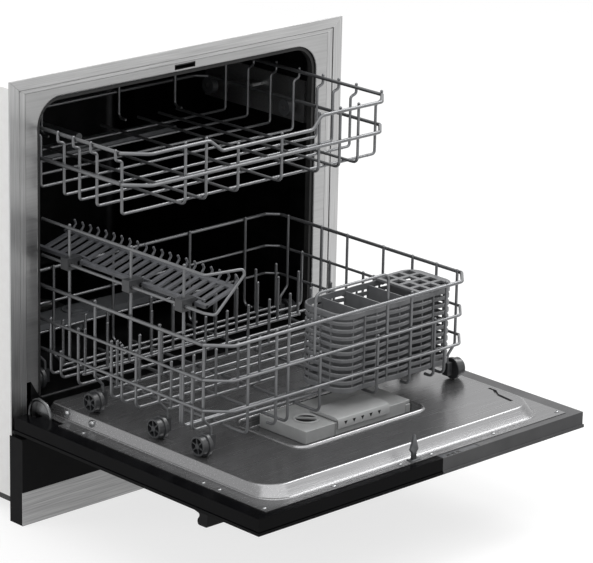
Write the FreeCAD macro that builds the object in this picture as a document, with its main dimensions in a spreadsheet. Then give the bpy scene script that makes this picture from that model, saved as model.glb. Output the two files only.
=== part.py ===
"""A built-in compact dishwasher, standing open: the door level, both racks drawn out.

X runs to the right, Y to the back and Z up. The origin is on the floor, midway along the front frame's
plane. Lengths are in millimetres.
"""

import FreeCAD, Part
import math
import os

import Sketcher

doc = FreeCAD.newDocument("Dishwasher")
sheet = doc.addObject("Spreadsheet::Sheet", "Sizes")
nodes = {}


# A size: its number, and the cell or sum of cells that it comes from
class Size:
    def __init__(self, number, text):
        self.number = float(number)
        self.text = text

    def __float__(self):
        return self.number

    def join(self, other, sign, number):
        right = other.text if isinstance(other, Size) else repr(other)
        return Size(number, "(" + self.text + " " + sign + " " + right + ")")

    def __add__(self, other):
        return self.join(other, "+", self.number + float(other))

    def __sub__(self, other):
        return self.join(other, "-", self.number - float(other))

    def __mul__(self, other):
        return self.join(other, "*", self.number * float(other))

    def __truediv__(self, other):
        return self.join(other, "/", self.number / float(other))

    def __neg__(self):
        return Size(-self.number, "(0 - " + self.text + ")")


ZERO = Size(0, "0")


# Every named size, written to its own row of the sheet
class Sizes:
    rows = 0

    def add(self, values):
        for name, number in values.items():
            self.rows += 1
            sheet.set("A" + str(self.rows), name)
            sheet.set("B" + str(self.rows), str(number))
            sheet.setAlias("B" + str(self.rows), name)
        sheet.recompute()
        for name in values:
            setattr(self, name, Size(sheet.get(name), "Sizes." + name))


s = Sizes()
main_sizes = {
    "wide": 595, "high": 604, "gauge": 1.5, "gap": 0.3, "overrun": 5, "joint_play": 0.05,
}
s.add(main_sizes)


def bind(item, **sizes):
    """Ties properties of one object to sizes. A double underscore stands for a dot."""
    for name, size in sizes.items():
        item.setExpression(name.replace("__", "."), size.text)


def place(item, x, y, z):
    """Ties an object's position to sizes."""
    bind(item, Placement__Base__x=x, Placement__Base__y=y, Placement__Base__z=z)


def node(label, item):
    """Names an object as one of the parts that are written out."""
    item.Label = label
    nodes[label] = item
    return item


# Rods, blocks and bent wires, which the joined pieces are made of


def block(x, y, z):
    """A box between two sizes along each axis."""
    item = doc.addObject("Part::Box", "block")
    bind(item, Length=x[1] - x[0], Width=y[1] - y[0], Height=z[1] - z[0])
    place(item, x[0], y[0], z[0])
    return item


TURNS = {
    "X": FreeCAD.Rotation(FreeCAD.Vector(0, 1, 0), 90),
    "Y": FreeCAD.Rotation(FreeCAD.Vector(1, 0, 0), -90),
    "Z": FreeCAD.Rotation(),
}


def rod(radius, length, x, y, z, axis="Z"):
    """A cylinder that starts at a point and runs along an axis."""
    item = doc.addObject("Part::Cylinder", "rod")
    item.Placement = FreeCAD.Placement(FreeCAD.Vector(), TURNS[axis])
    bind(item, Radius=radius, Height=length)
    place(item, x, y, z)
    return item


def fuse(*items):
    """Several objects made one."""
    item = doc.addObject("Part::MultiFuse", "fused")
    item.Shapes = list(items)
    item.Refine = True
    return item


def cut(base, *tools):
    """An object with others taken out of it."""
    item = doc.addObject("Part::Cut", "cut")
    item.Base = base
    item.Tool = tools[0] if len(tools) == 1 else fuse(*tools)
    item.Refine = True
    return item


def common(first, second):
    """What two objects share."""
    item = doc.addObject("Part::MultiCommon", "common")
    item.Shapes = [first, second]
    return item


def group(*items):
    """Separate solids kept as one object."""
    item = doc.addObject("Part::Compound", "group")
    item.Links = list(items)
    return item


# Drawn outlines, padded, pocketed and repeated along their body

NORMAL_SIGNS = {"XY_Plane": 1, "XZ_Plane": -1, "YZ_Plane": 1}


def body_of(label):
    body = doc.addObject("PartDesign::Body", label)
    return node(label, body)


def sketch_on(body, role, at):
    """A sketch parallel to one of the body's own planes, at a place along that plane's axis."""
    sketch = body.newObject("Sketcher::SketchObject", body.Name + "_sketch")
    plane = [item for item in body.Origin.OriginFeatures if item.Role == role][0]
    sketch.AttachmentSupport = (plane, [""])
    sketch.MapMode = "FlatFace"
    offset = at if NORMAL_SIGNS[role] > 0 else -at
    sketch.setExpression("AttachmentOffset.Base.z", offset.text)
    return sketch


def hold(sketch, kind, geometry, point, size):
    """Ties one coordinate of a sketched point to a size."""
    if size is ZERO:
        axis = -2 if kind == "DistanceX" else -1
        sketch.addConstraint(Sketcher.Constraint("PointOnObject", geometry, point, axis))
        return
    row = sketch.addConstraint(Sketcher.Constraint(kind, -1, 1, geometry, point, size.number))
    sketch.setExpression("Constraints[" + str(row) + "]", size.text)


def polygon(sketch, points):
    """A closed outline through points whose two coordinates are sizes."""
    corners = [FreeCAD.Vector(float(x), float(y), 0) for x, y in points]
    count = len(corners)
    for i in range(count):
        sketch.addGeometry(Part.LineSegment(corners[i], corners[(i + 1) % count]), False)
    for i in range(count):
        sketch.addConstraint(Sketcher.Constraint("Coincident", i, 2, (i + 1) % count, 1))
    for i, (x, y) in enumerate(points):
        hold(sketch, "DistanceX", i, 1, x)
        hold(sketch, "DistanceY", i, 1, y)


def rounded(sketch, across, along, low_radius, high_radius=None):
    """A rectangle between two sizes each way, with round corners, the upper two of their own radius."""
    left, right = across
    low, high = along
    radii = [low_radius, low_radius, high_radius or low_radius, high_radius or low_radius]
    x0, x1, y0, y1 = float(left), float(right), float(low), float(high)
    r = [float(radius) for radius in radii]
    ends = [
        ((x0 + r[0], y0), (x1 - r[1], y0)),
        ((x1, y0 + r[1]), (x1, y1 - r[2])),
        ((x1 - r[2], y1), (x0 + r[3], y1)),
        ((x0, y1 - r[3]), (x0, y0 + r[0])),
    ]
    for a, b in ends:
        sketch.addGeometry(Part.LineSegment(FreeCAD.Vector(*a, 0), FreeCAD.Vector(*b, 0)), False)
    centres = [
        (x1 - r[1], y0 + r[1], r[1], 1.5),
        (x1 - r[2], y1 - r[2], r[2], 0),
        (x0 + r[3], y1 - r[3], r[3], 0.5),
        (x0 + r[0], y0 + r[0], r[0], 1),
    ]
    up = FreeCAD.Vector(0, 0, 1)
    for x, y, radius, start in centres:
        circle = Part.Circle(FreeCAD.Vector(x, y, 0), up, radius)
        arc = Part.ArcOfCircle(circle, start * math.pi, (start + 0.5) * math.pi)
        sketch.addGeometry(arc, False)
    for i in range(4):
        sketch.addConstraint(Sketcher.Constraint("Tangent", i, 2, 4 + i, 1))
        sketch.addConstraint(Sketcher.Constraint("Tangent", 4 + i, 2, (i + 1) % 4, 1))
    for line, kind in ((0, "Horizontal"), (1, "Vertical"), (2, "Horizontal"), (3, "Vertical")):
        sketch.addConstraint(Sketcher.Constraint(kind, line))
    hold(sketch, "DistanceX", 3, 1, left)
    hold(sketch, "DistanceX", 1, 1, right)
    hold(sketch, "DistanceY", 0, 1, low)
    hold(sketch, "DistanceY", 2, 1, high)
    pairs = ((4, 5, None), (4, 6, None), (4, 7, radii[0]))
    if high_radius:
        pairs = ((5, 6, radii[2]), (4, 7, radii[0]))
    for first, second, radius in pairs:
        sketch.addConstraint(Sketcher.Constraint("Equal", first, second))
        if radius is not None:
            row = sketch.addConstraint(Sketcher.Constraint("Radius", first, float(radius)))
            sketch.setExpression("Constraints[" + str(row) + "]", radius.text)


def pad(body, role, span, draw, *sizes):
    """Material between two places along a plane's axis, with the outline that draw makes."""
    sketch = sketch_on(body, role, span[0])
    draw(sketch, *sizes)
    feature = body.newObject("PartDesign::Pad", body.Name + "_pad")
    feature.Profile = sketch
    feature.Reversed = NORMAL_SIGNS[role] < 0
    feature.Refine = True
    bind(feature, Length=span[1] - span[0])
    return feature


def pocket(body, role, span, draw, *sizes):
    """The same, taken away."""
    sketch = sketch_on(body, role, span[0])
    draw(sketch, *sizes)
    feature = body.newObject("PartDesign::Pocket", body.Name + "_pocket")
    feature.Profile = sketch
    feature.Reversed = NORMAL_SIGNS[role] > 0
    feature.Refine = True
    bind(feature, Length=span[1] - span[0])
    return feature


def turned(label, profile, axis, x, y, z, name=None):
    """A turned piece: a profile of (radius, height) points spun about an axis, then put in its place."""
    body = doc.addObject("PartDesign::Body", label)
    sketch = sketch_on(body, "XZ_Plane", ZERO)
    polygon(sketch, profile)
    feature = body.newObject("PartDesign::Revolution", label + "_turn")
    feature.Profile = sketch
    feature.ReferenceAxis = (sketch, ["V_Axis"])
    feature.Angle = 360
    body.Placement = FreeCAD.Placement(FreeCAD.Vector(), TURNS[axis])
    place(body, x, y, z)
    return node(label, body) if name is None else body


# Bent wire, as many flat faces as it has sides, mitred where it turns


def wire(points, radius, sides=6):
    """A solid of wire along points in space."""
    path = [FreeCAD.Vector(*[float(value) for value in point]) for point in points]
    runs = [(b - a).normalize() for a, b in zip(path, path[1:])]
    first = runs[0]
    side = FreeCAD.Vector(0, 0, 1) if abs(first.z) < 0.9 else FreeCAD.Vector(1, 0, 0)
    side = (side - first * side.dot(first)).normalize()
    other = first.cross(side)
    reach = float(radius) / math.cos(math.pi / sides)
    ring = []
    for i in range(sides):
        angle = 2 * math.pi * (i + 0.5) / sides
        ring.append(path[0] + (side * math.cos(angle) + other * math.sin(angle)) * reach)
    rings = [ring]
    for i in range(1, len(path)):
        run = runs[i - 1]
        normal = run if i == len(runs) else (run + runs[i]).normalize()
        ring = [p + run * ((path[i] - p).dot(normal) / run.dot(normal)) for p in rings[-1]]
        rings.append(ring)
    faces = []
    for low, high in zip(rings, rings[1:]):
        for i in range(sides):
            j = (i + 1) % sides
            faces.append(Part.Face(Part.makePolygon([low[i], low[j], high[j], high[i], low[i]])))
    for ring in (rings[0], rings[-1]):
        faces.append(Part.Face(Part.makePolygon(ring + [ring[0]])))
    solid = Part.Solid(Part.Shell(faces))
    if solid.Volume < 0:
        solid.reverse()
    return solid


def welded(label, pieces):
    """Crossing wires welded where they meet."""
    item = doc.addObject("Part::Feature", label)
    shape = pieces[0].multiFuse(pieces[1:]) if len(pieces) > 1 else pieces[0]
    item.Shape = shape.removeSplitter()
    return node(label, item)


# Front frame: a folded stainless rim round the opening, its inner band set back
frame_sizes = {
    "frame_foot": 122, "frame_deep": 14, "rim_side": 16.5, "rim_top": 14, "band_side": 10.5,
    "band_top": 6, "band_back": 1, "frame_sill": 18, "hinge_slot_side": 263.5, "hinge_slot_wide": 12.5,
    "hinge_slot_top": 190, "slot_sill": 4,
}
s.add(frame_sizes)
half_wide = s.wide / 2
frame_hole_half = half_wide - s.rim_side - s.band_side
frame_hole_top = s.high - s.rim_top - s.band_top
frame_hole_foot = s.frame_foot + s.frame_sill

frame = body_of("front_frame")
pad(frame, "XZ_Plane", (ZERO, s.frame_deep), polygon, [
    (-half_wide, s.frame_foot), (half_wide, s.frame_foot), (half_wide, s.high), (-half_wide, s.high)])
band_half = half_wide - s.rim_side
band_high = s.high - s.rim_top
pocket(frame, "XZ_Plane", (ZERO, s.band_back), polygon, [
    (-band_half, frame_hole_foot), (band_half, frame_hole_foot), (band_half, band_high), (-band_half,
        band_high)])
pocket(frame, "XZ_Plane", (-s.overrun, s.frame_deep + s.overrun), polygon, [
    (-frame_hole_half, frame_hole_foot), (frame_hole_half, frame_hole_foot),
    (frame_hole_half, frame_hole_top), (-frame_hole_half, frame_hole_top)])
slot_in, slot_out = s.hinge_slot_side, s.hinge_slot_side + s.hinge_slot_wide
for near, far in ((-slot_out, -slot_in), (slot_in, slot_out)):
    pocket(frame, "XZ_Plane", (-s.overrun, s.frame_deep + s.overrun), polygon, [
        (near, s.frame_foot + s.slot_sill), (far, s.frame_foot + s.slot_sill),
        (far, s.hinge_slot_top), (near, s.hinge_slot_top)])

# Tub: the deep-drawn stainless liner, with a flange in front and a basin that drains to the sump
tub_sizes = {
    "opening_half": 250, "opening_foot": 162.8, "opening_top": 572, "opening_radius": 38,
    "foot_radius": 8, "tub_deep": 440, "flange_back": 2, "basin_half": 208, "basin_front": 26,
    "basin_back": 424, "basin_deep": 14, "basin_radius": 30, "arm_across": 0, "arm_along": 225,
    "sump_along": 325, "sump_radius": 46, "hub_hole_radius": 12.5, "latch_across": 4.5,
    "latch_high": 577, "latch_slot_wide": 37, "latch_slot_high": 5,
}
s.add(tub_sizes)
tub_floor = s.opening_foot + s.gauge
basin_floor = tub_floor - s.basin_deep
flange_front, flange_rear = s.flange_back, s.flange_back + s.gauge
flange_half = frame_hole_half - s.gap
tub = doc.addObject("PartDesign::Body", "tub_sheet")
pad(tub, "XZ_Plane", (flange_front, flange_rear), polygon, [
    (-flange_half, frame_hole_foot + s.gap), (flange_half, frame_hole_foot + s.gap),
    (flange_half, frame_hole_top - s.gap), (-flange_half, frame_hole_top - s.gap)])
outer_half = s.opening_half + s.gauge
pad(tub, "XZ_Plane", (flange_front, s.tub_deep + s.gauge), rounded, (-outer_half, outer_half),
    (s.opening_foot, s.opening_top + s.gauge),
    s.foot_radius + s.gauge, s.opening_radius + s.gauge)
basin_out = s.basin_half + s.gauge
pad(tub, "XY_Plane", (basin_floor - s.gauge, tub_floor - s.gap), rounded, (-basin_out, basin_out),
    (s.basin_front - s.gauge, s.basin_back + s.gauge), s.basin_radius + s.gauge)
pocket(tub, "XZ_Plane", (flange_front - s.overrun, s.tub_deep), rounded, (-s.opening_half, s.opening_half),
       (tub_floor, s.opening_top), s.foot_radius, s.opening_radius)
pocket(tub, "XY_Plane", (basin_floor, tub_floor + s.overrun), rounded, (-s.basin_half, s.basin_half),
       (s.basin_front, s.basin_back), s.basin_radius)


def circle(sketch, x, y, radius):
    """A round outline."""
    sketch.addGeometry(Part.Circle(FreeCAD.Vector(float(x), float(y), 0), FreeCAD.Vector(0, 0, 1),
        float(radius)), False)
    row = sketch.addConstraint(Sketcher.Constraint("Radius", 0, float(radius)))
    sketch.setExpression("Constraints[" + str(row) + "]", radius.text)
    hold(sketch, "DistanceX", 0, 3, x)
    hold(sketch, "DistanceY", 0, 3, y)


below_tub = basin_floor - s.gauge - s.overrun
pocket(tub, "XY_Plane", (below_tub, tub_floor), circle, ZERO, s.sump_along, s.sump_radius)
pocket(tub, "XY_Plane", (below_tub, tub_floor), circle, ZERO, s.arm_along, s.hub_hole_radius)
latch_half = s.latch_slot_wide / 2
latch_low, latch_top = s.latch_high - s.latch_slot_high / 2, s.latch_high + s.latch_slot_high / 2
pocket(tub, "XZ_Plane", (flange_front - s.overrun, flange_rear + s.overrun), polygon, [
    (s.latch_across - latch_half, latch_low), (s.latch_across + latch_half, latch_low),
    (s.latch_across + latch_half, latch_top), (s.latch_across - latch_half, latch_top)])
for near, far in ((-flange_half - s.overrun, -slot_in), (slot_in, flange_half + s.overrun)):
    pocket(tub, "XZ_Plane", (flange_front - s.overrun, flange_rear + s.overrun), polygon, [
        (near, s.frame_foot), (far, s.frame_foot), (far, s.hinge_slot_top), (near, s.hinge_slot_top)])

# The tub's floor is a pressing of its own, welded in between the rounded feet of the walls
pressing_half = s.opening_half - s.foot_radius
pressing = block((-pressing_half, pressing_half), (flange_front - s.overrun, s.tub_deep),
                 (frame_hole_foot - s.overrun, tub_floor + s.gap))
node("tub", cut(tub, pressing))
node("tub_floor", common(tub, pressing))

# Tub seal: a rubber lip inside the opening, up both sides and across the top
seal_sizes = {
    "seal_thick": 5.5, "seal_deep": 9, "seal_from": 4,
}
s.add(seal_sizes)
seal = body_of("tub_seal")
seal_span = (s.seal_from, s.seal_from + s.seal_deep)
seal_out = s.opening_half - s.gap
seal_in = s.opening_half - s.seal_thick
pad(seal, "XZ_Plane", seal_span, rounded, (-seal_out, seal_out),
    (tub_floor + s.gap, s.opening_top - s.gap), s.foot_radius, s.opening_radius - s.gap)
pocket(seal, "XZ_Plane", (seal_span[0] - s.overrun, seal_span[1] + s.overrun), rounded, (-seal_in, seal_in),
       (tub_floor - s.seal_deep, s.opening_top - s.seal_thick), s.foot_radius,
       s.opening_radius - s.seal_thick)

# Casing: a galvanised sheet over the top and down both sides, with a rear panel
casing_sizes = {
    "case_half": 280, "case_top": 588, "case_foot": 24, "case_back": 498, "case_sheet": 1.2,
    "inlet_across": -150, "inlet_high": 70, "inlet_radius": 13.2, "drain_across": 140,
    "drain_high": 72, "drain_radius": 12,
}
s.add(casing_sizes)
case_front = s.frame_deep
casing = body_of("outer_casing")
pad(casing, "XZ_Plane", (case_front, s.case_back), polygon, [
    (-s.case_half, s.case_foot), (s.case_half, s.case_foot), (s.case_half, s.case_top), (-s.case_half,
        s.case_top)])
case_in = s.case_half - s.case_sheet
pocket(casing, "XZ_Plane", (case_front - s.overrun, s.case_back + s.overrun), polygon, [
    (-case_in, s.case_foot - s.overrun), (case_in, s.case_foot - s.overrun),
    (case_in, s.case_top - s.case_sheet), (-case_in, s.case_top - s.case_sheet)])

rear_sizes = {
    "vent_high": 260, "vent_step": 16, "vent_long": 70,
    "vent_wide": 5,
}
s.add(rear_sizes)
rear = body_of("rear_panel")
pad(rear, "XZ_Plane", (s.case_back, s.case_back + s.case_sheet), polygon, [
    (-s.case_half, s.case_foot), (s.case_half, s.case_foot), (s.case_half, s.case_top), (-s.case_half,
        s.case_top)])
rear_cut = (s.case_back - s.overrun, s.case_back + s.case_sheet + s.overrun)
pocket(rear, "XZ_Plane", rear_cut, circle, s.inlet_across, s.inlet_high, s.inlet_radius + s.gap)
pocket(rear, "XZ_Plane", rear_cut, circle, s.drain_across, s.drain_high, s.drain_radius + s.gap)
for i in range(4):
    vent_low = s.vent_high + s.vent_step * i
    pocket(rear, "XZ_Plane", rear_cut, polygon, [
        (-s.vent_long / 2, vent_low), (s.vent_long / 2, vent_low),
        (s.vent_long / 2, vent_low + s.vent_wide), (-s.vent_long / 2, vent_low + s.vent_wide)])

# Base pan: the drip tray that carries the pumps, and its four screw feet
base_sizes = {
    "pan_floor": 14, "pan_wall": 22, "pan_thick": 2, "pan_front": 4, "pan_back": 494, "pan_half": 276,
    "foot_disc_radius": 17, "foot_disc_high": 7, "stud_radius": 5, "stud_top": 24, "foot_inset": 40,
}
s.add(base_sizes)
base = body_of("base_pan")
pad(base, "XY_Plane", (s.pan_floor, s.pan_floor + s.pan_wall), polygon, [
    (-s.pan_half, s.pan_front), (s.pan_half, s.pan_front), (s.pan_half, s.pan_back), (-s.pan_half,
        s.pan_back)])
pan_in = s.pan_half - s.pan_thick
pan_top = s.pan_floor + s.pan_wall
pan_deck = s.pan_floor + s.pan_thick
pocket(base, "XY_Plane", (pan_deck, pan_top + s.overrun), polygon, [
    (-pan_in, s.pan_front + s.pan_thick), (pan_in, s.pan_front + s.pan_thick),
    (pan_in, s.pan_back - s.pan_thick), (-pan_in, s.pan_back - s.pan_thick)])
foot_places = []
for x in (-(s.pan_half - s.foot_inset), s.pan_half - s.foot_inset):
    for y in (s.pan_front + s.foot_inset, s.pan_back - s.foot_inset):
        foot_places.append((x, y))
for x, y in foot_places:
    pocket(base, "XY_Plane", (s.pan_floor - s.overrun, pan_deck + s.overrun), circle, x, y,
        s.stud_radius + s.joint_play)
feet = []
for i, (x, y) in enumerate(foot_places):
    profile = [(ZERO, ZERO), (s.foot_disc_radius, ZERO), (s.foot_disc_radius, s.foot_disc_high),
               (s.stud_radius, s.foot_disc_high), (s.stud_radius, s.stud_top), (ZERO, s.stud_top)]
    feet.append(turned("foot_" + str(i), profile, "Z", x, y, ZERO, name=""))
node("levelling_feet", group(*feet))

# Base front: a gloss black panel over a brushed kick plate
base_front_sizes = {
    "base_proud": 22.5, "kick_high": 47, "kick_sheet": 1,
}
s.add(base_front_sizes)
front = body_of("base_front_panel")
pad(front, "YZ_Plane", (-half_wide, half_wide), polygon, [
    (s.pan_front, ZERO), (s.pan_front, s.frame_foot), (-s.base_proud, s.frame_foot), (-s.base_proud,
        s.kick_high),
    (s.kick_sheet - s.base_proud, s.kick_high), (s.kick_sheet - s.base_proud, ZERO)])
kick = block((-half_wide, half_wide), (-s.base_proud, s.kick_sheet - s.base_proud), (ZERO, s.kick_high))
node("kick_plate", kick)


def loft(body, kind, low, high):
    """A form that passes from one outline to another. Each is a height and what rounded takes."""
    sketches = []
    for height, outline in (low, high):
        sketch = sketch_on(body, "XY_Plane", height)
        rounded(sketch, *outline)
        sketches.append(sketch)
    feature = body.newObject(kind, body.Name + "_loft")
    feature.Profile = sketches[0]
    feature.Sections = [sketches[1]]
    feature.Refine = True
    return feature


# Hinges: fixed brackets with riveted pins, and the quarter discs that turn on them with the door
hinge_sizes = {
    "hinge_along": -16, "hinge_high": 134.2, "pin_radius": 4, "ear_radius": 6.2, "bracket_thick": 3,
    "quadrant_radius": 52, "quadrant_thick": 3, "quadrant_foot": 8, "bracket_leg": 30,
    "bracket_back": 60, "bracket_low": 124, "bracket_top": 140.4, "tab_reach": 16, "tab_high": 100,
}
s.add(hinge_sizes)
quadrant_in = s.hinge_slot_side + s.gap * 3
quadrant_out = quadrant_in + s.quadrant_thick
bracket_in = quadrant_out + s.gap * 2
bracket_out = bracket_in + s.bracket_thick
brackets = []
for side in (-1, 1):
    x = (bracket_in, bracket_out) if side > 0 else (-bracket_out, -bracket_in)
    tab = (bracket_in - s.tab_reach, bracket_out) if side > 0 else (-bracket_out, s.tab_reach - bracket_in)
    arm = block(x, (s.hinge_along, s.bracket_back), (s.bracket_low + s.bracket_thick, s.bracket_top))
    leg = block(x, (s.bracket_back - s.bracket_leg, s.bracket_back), (pan_deck, s.bracket_top))
    fold = block(tab, (s.bracket_back - s.bracket_thick, s.bracket_back), (pan_deck, s.tab_high))
    ear = rod(s.ear_radius, s.bracket_thick, x[0], s.hinge_along, s.hinge_high, "X")
    pin_start = quadrant_in if side > 0 else -bracket_out
    pin = rod(s.pin_radius, bracket_out - quadrant_in, pin_start, s.hinge_along, s.hinge_high, "X")
    brackets.append(fuse(arm, leg, fold, ear, pin))
node("hinge_brackets", group(*brackets))

spring_sizes = {
    "spring_radius": 8, "spring_front": 80, "spring_back": 300, "spring_high": 80, "hook_radius": 2,
    "post_thick": 4,
}
s.add(spring_sizes)
springs = []
spring_across = bracket_in - s.tab_reach / 2
for side in (-1, 1):
    x = spring_across if side > 0 else -spring_across
    coil = rod(s.spring_radius, s.spring_back - s.spring_front, x, s.spring_front, s.spring_high, "Y")
    hook = rod(s.hook_radius, s.spring_front - s.bracket_back, x, s.bracket_back, s.spring_high, "Y")
    post = block((x - s.spring_radius, x + s.spring_radius), (s.spring_back, s.spring_back + s.post_thick),
                 (pan_deck, s.spring_high + s.spring_radius))
    springs.append(fuse(coil, hook, post))
node("door_springs", group(*springs))

# Door: a gloss black front sheet, a black core and the stainless liner with its raised pan
door_sizes = {
    "door_low": 127.5, "door_top": 149.3, "door_back": -3.2, "door_front": -481, "glass_thick": 4,
    "core_inset": 1.5, "notch_deep": 23, "liner_half": 274, "liner_front": -468, "liner_back": -12,
    "liner_sheet": 1, "pan_side": 249, "pan_fore": -453, "pan_aft": -46, "pan_rise": 14,
    "pan_slope_fore": 14, "pan_slope": 3, "pan_corner": 38, "pan_heel": 6,
}
s.add(door_sizes)
glass_top = s.door_low + s.glass_thick
notch_end = s.door_back - s.notch_deep
quadrant_front = s.hinge_along - s.quadrant_radius
glass = body_of("door_front_glass")
pad(glass, "XY_Plane", (s.door_low, glass_top), polygon, [
    (-half_wide, s.door_front), (half_wide, s.door_front), (half_wide, s.door_back), (-half_wide,
        s.door_back)])
core_half = half_wide - s.core_inset
core_front, core_back = s.door_front + s.core_inset, s.door_back - s.core_inset
core = body_of("door_core")
pad(core, "XY_Plane", (glass_top, s.door_top), polygon, [
    (-core_half, core_front), (core_half, core_front), (core_half, core_back), (-core_half, core_back)])
for near, far in ((-slot_out, -slot_in), (slot_in, slot_out)):
    notch = [(near, notch_end), (far, notch_end), (far, s.overrun), (near, s.overrun)]
    pocket(glass, "XY_Plane", (s.door_low - s.overrun, glass_top + s.overrun), polygon, notch)
    pocket(core, "XY_Plane", (glass_top - s.overrun, s.door_top + s.overrun), polygon, notch)
for near, far in ((-quadrant_out, -quadrant_in), (quadrant_in, quadrant_out)):
    pocket(core, "XY_Plane", (glass_top, s.door_top + s.overrun), polygon, [
        (near, quadrant_front), (far, quadrant_front), (far, notch_end + s.overrun), (near,
            notch_end + s.overrun)])

core_sizes = {
    "core_wall": 24, "core_web": 3,
}
s.add(core_sizes)
hollow_half = core_half - s.core_wall
hollow_back = quadrant_front - s.core_web
pocket(core, "XY_Plane", (glass_top + s.core_web, s.door_top + s.overrun), polygon, [
    (-hollow_half, core_front + s.core_wall), (hollow_half, core_front + s.core_wall),
    (hollow_half, hollow_back), (-hollow_half, hollow_back)])

display_sizes = {
    "display_across": 62, "display_wide": 70, "display_deep": 12, "display_high": 5,
}
s.add(display_sizes)
display_low = s.door_top - s.display_high
pocket(core, "XY_Plane", (display_low, s.door_top + s.overrun), polygon, [
    (s.display_across - s.display_wide / 2, core_front + s.core_inset),
    (s.display_across + s.display_wide / 2, core_front + s.core_inset),
    (s.display_across + s.display_wide / 2, core_front + s.display_deep - s.core_inset),
    (s.display_across - s.display_wide / 2, core_front + s.display_deep - s.core_inset)])

liner_top = s.door_top + s.liner_sheet
pan_flat = liner_top + s.pan_rise
liner = body_of("door_liner")
pad(liner, "XY_Plane", (s.door_top, liner_top), polygon, [
    (-s.liner_half, s.liner_front), (s.liner_half, s.liner_front), (s.liner_half, quadrant_front - s.gap),
    (slot_in, quadrant_front - s.gap), (slot_in, s.liner_back), (-slot_in, s.liner_back),
    (-slot_in, quadrant_front - s.gap), (-s.liner_half, quadrant_front - s.gap)])
top_half = s.pan_side - s.pan_slope
top_fore, top_aft = s.pan_fore + s.pan_slope_fore, s.pan_aft - s.pan_slope
loft(liner, "PartDesign::AdditiveLoft",
     (liner_top, ((-s.pan_side, s.pan_side), (s.pan_fore, s.pan_aft), s.pan_corner, s.pan_heel)),
     (pan_flat, ((-top_half, top_half), (top_fore, top_aft), s.pan_corner, s.pan_heel)))
thin = s.liner_sheet
loft(liner, "PartDesign::SubtractiveLoft",
     (s.door_top, ((thin - s.pan_side, s.pan_side - thin), (s.pan_fore + thin, s.pan_aft - thin),
                   s.pan_corner - thin, s.pan_heel - thin)),
     (pan_flat - thin, ((thin - top_half, top_half - thin), (top_fore + thin, top_aft - thin),
                        s.pan_corner - thin, s.pan_heel - thin)))

# The well for the dispenser, drawn down from the pan
well_sizes = {
    "well_left": -116, "well_right": 112, "well_fore": -361, "well_aft": -240, "well_corner": 18,
}
s.add(well_sizes)
well_floor = s.door_top + s.liner_sheet * 3
pad(liner, "XY_Plane", (well_floor - thin, pan_flat - thin / 2), rounded,
    (s.well_left - thin, s.well_right + thin), (s.well_fore - thin, s.well_aft + thin),
    s.well_corner + thin)
pocket(liner, "XY_Plane", (well_floor, pan_flat + s.overrun), rounded,
       (s.well_left, s.well_right), (s.well_fore, s.well_aft), s.well_corner)

# A shallow drain groove pressed near the pan's right edge
groove_sizes = {
    "groove_across": 226, "groove_wide": 3, "groove_fore": -418, "groove_aft": -377,
    "groove_deep": 0.5,
}
s.add(groove_sizes)
pocket(liner, "XY_Plane", (pan_flat - s.groove_deep, pan_flat + s.overrun), polygon, [
    (s.groove_across, s.groove_fore), (s.groove_across + s.groove_wide, s.groove_fore),
    (s.groove_across + s.groove_wide * 3, s.groove_aft), (s.groove_across + s.groove_wide * 2,
        s.groove_aft)])

# The quarter discs, standing in slots of the core
arms = []
for side in (-1, 1):
    x = (quadrant_in, quadrant_out) if side > 0 else (-quadrant_out, -quadrant_in)
    disc = rod(s.quadrant_radius, s.quadrant_thick, x[0], s.hinge_along, s.hinge_high, "X")
    upper = block(x, (quadrant_front, s.hinge_along), (s.hinge_high, s.hinge_high + s.quadrant_radius))
    foot = block(x, (quadrant_front, s.hinge_along), (glass_top, s.door_top))
    boss = rod(s.quadrant_foot, s.quadrant_thick, x[0], s.hinge_along, s.hinge_high, "X")
    trim = block(x, (quadrant_front, s.hinge_along + s.quadrant_foot), (glass_top,
        s.hinge_high + s.quadrant_radius))
    bore = rod(s.pin_radius + s.joint_play, s.quadrant_thick + s.overrun * 2, x[0] - s.overrun,
               s.hinge_along, s.hinge_high, "X")
    arms.append(cut(fuse(common(disc, upper), foot, common(boss, trim)), bore))
node("hinge_arms", group(*arms))

# Ringed pivot screws in the pan's side walls
side_screw_sizes = {
    "side_screw_radius": 6.5, "side_screw_high": 2, "side_screw_rise": 7,
}
s.add(side_screw_sizes)
side_screw_shares = (0.02, 0.145)
screws = []
pan_long = s.pan_aft - s.pan_fore
for side in (-1, 1):
    for share in side_screw_shares:
        x = s.pan_side if side > 0 else -s.pan_side - s.side_screw_high
        y = s.pan_aft - s.pan_heel - pan_long * share
        screws.append(rod(s.side_screw_radius, s.side_screw_high, x, y, liner_top + s.side_screw_rise, "X"))
node("pivot_screws", group(*screws))

# Handle: a black grip profile across the door's front side
handle_sizes = {
    "grip_fore": -388, "grip_aft": -360, "grip_low": 109, "grip_lip": 6, "grip_wall": 5,
    "grip_hollow": 11,
}
s.add(handle_sizes)
handle = body_of("door_handle")
pad(handle, "YZ_Plane", (-half_wide, half_wide), polygon, [
    (s.grip_fore, s.door_low), (s.grip_fore, s.grip_low + s.grip_lip), (s.grip_fore + s.grip_lip,
        s.grip_low),
    (s.grip_aft, s.grip_low), (s.grip_aft, s.grip_low + s.grip_wall),
    (s.grip_fore + s.grip_hollow, s.grip_low + s.grip_wall), (s.grip_fore + s.grip_hollow, s.door_low)])

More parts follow.
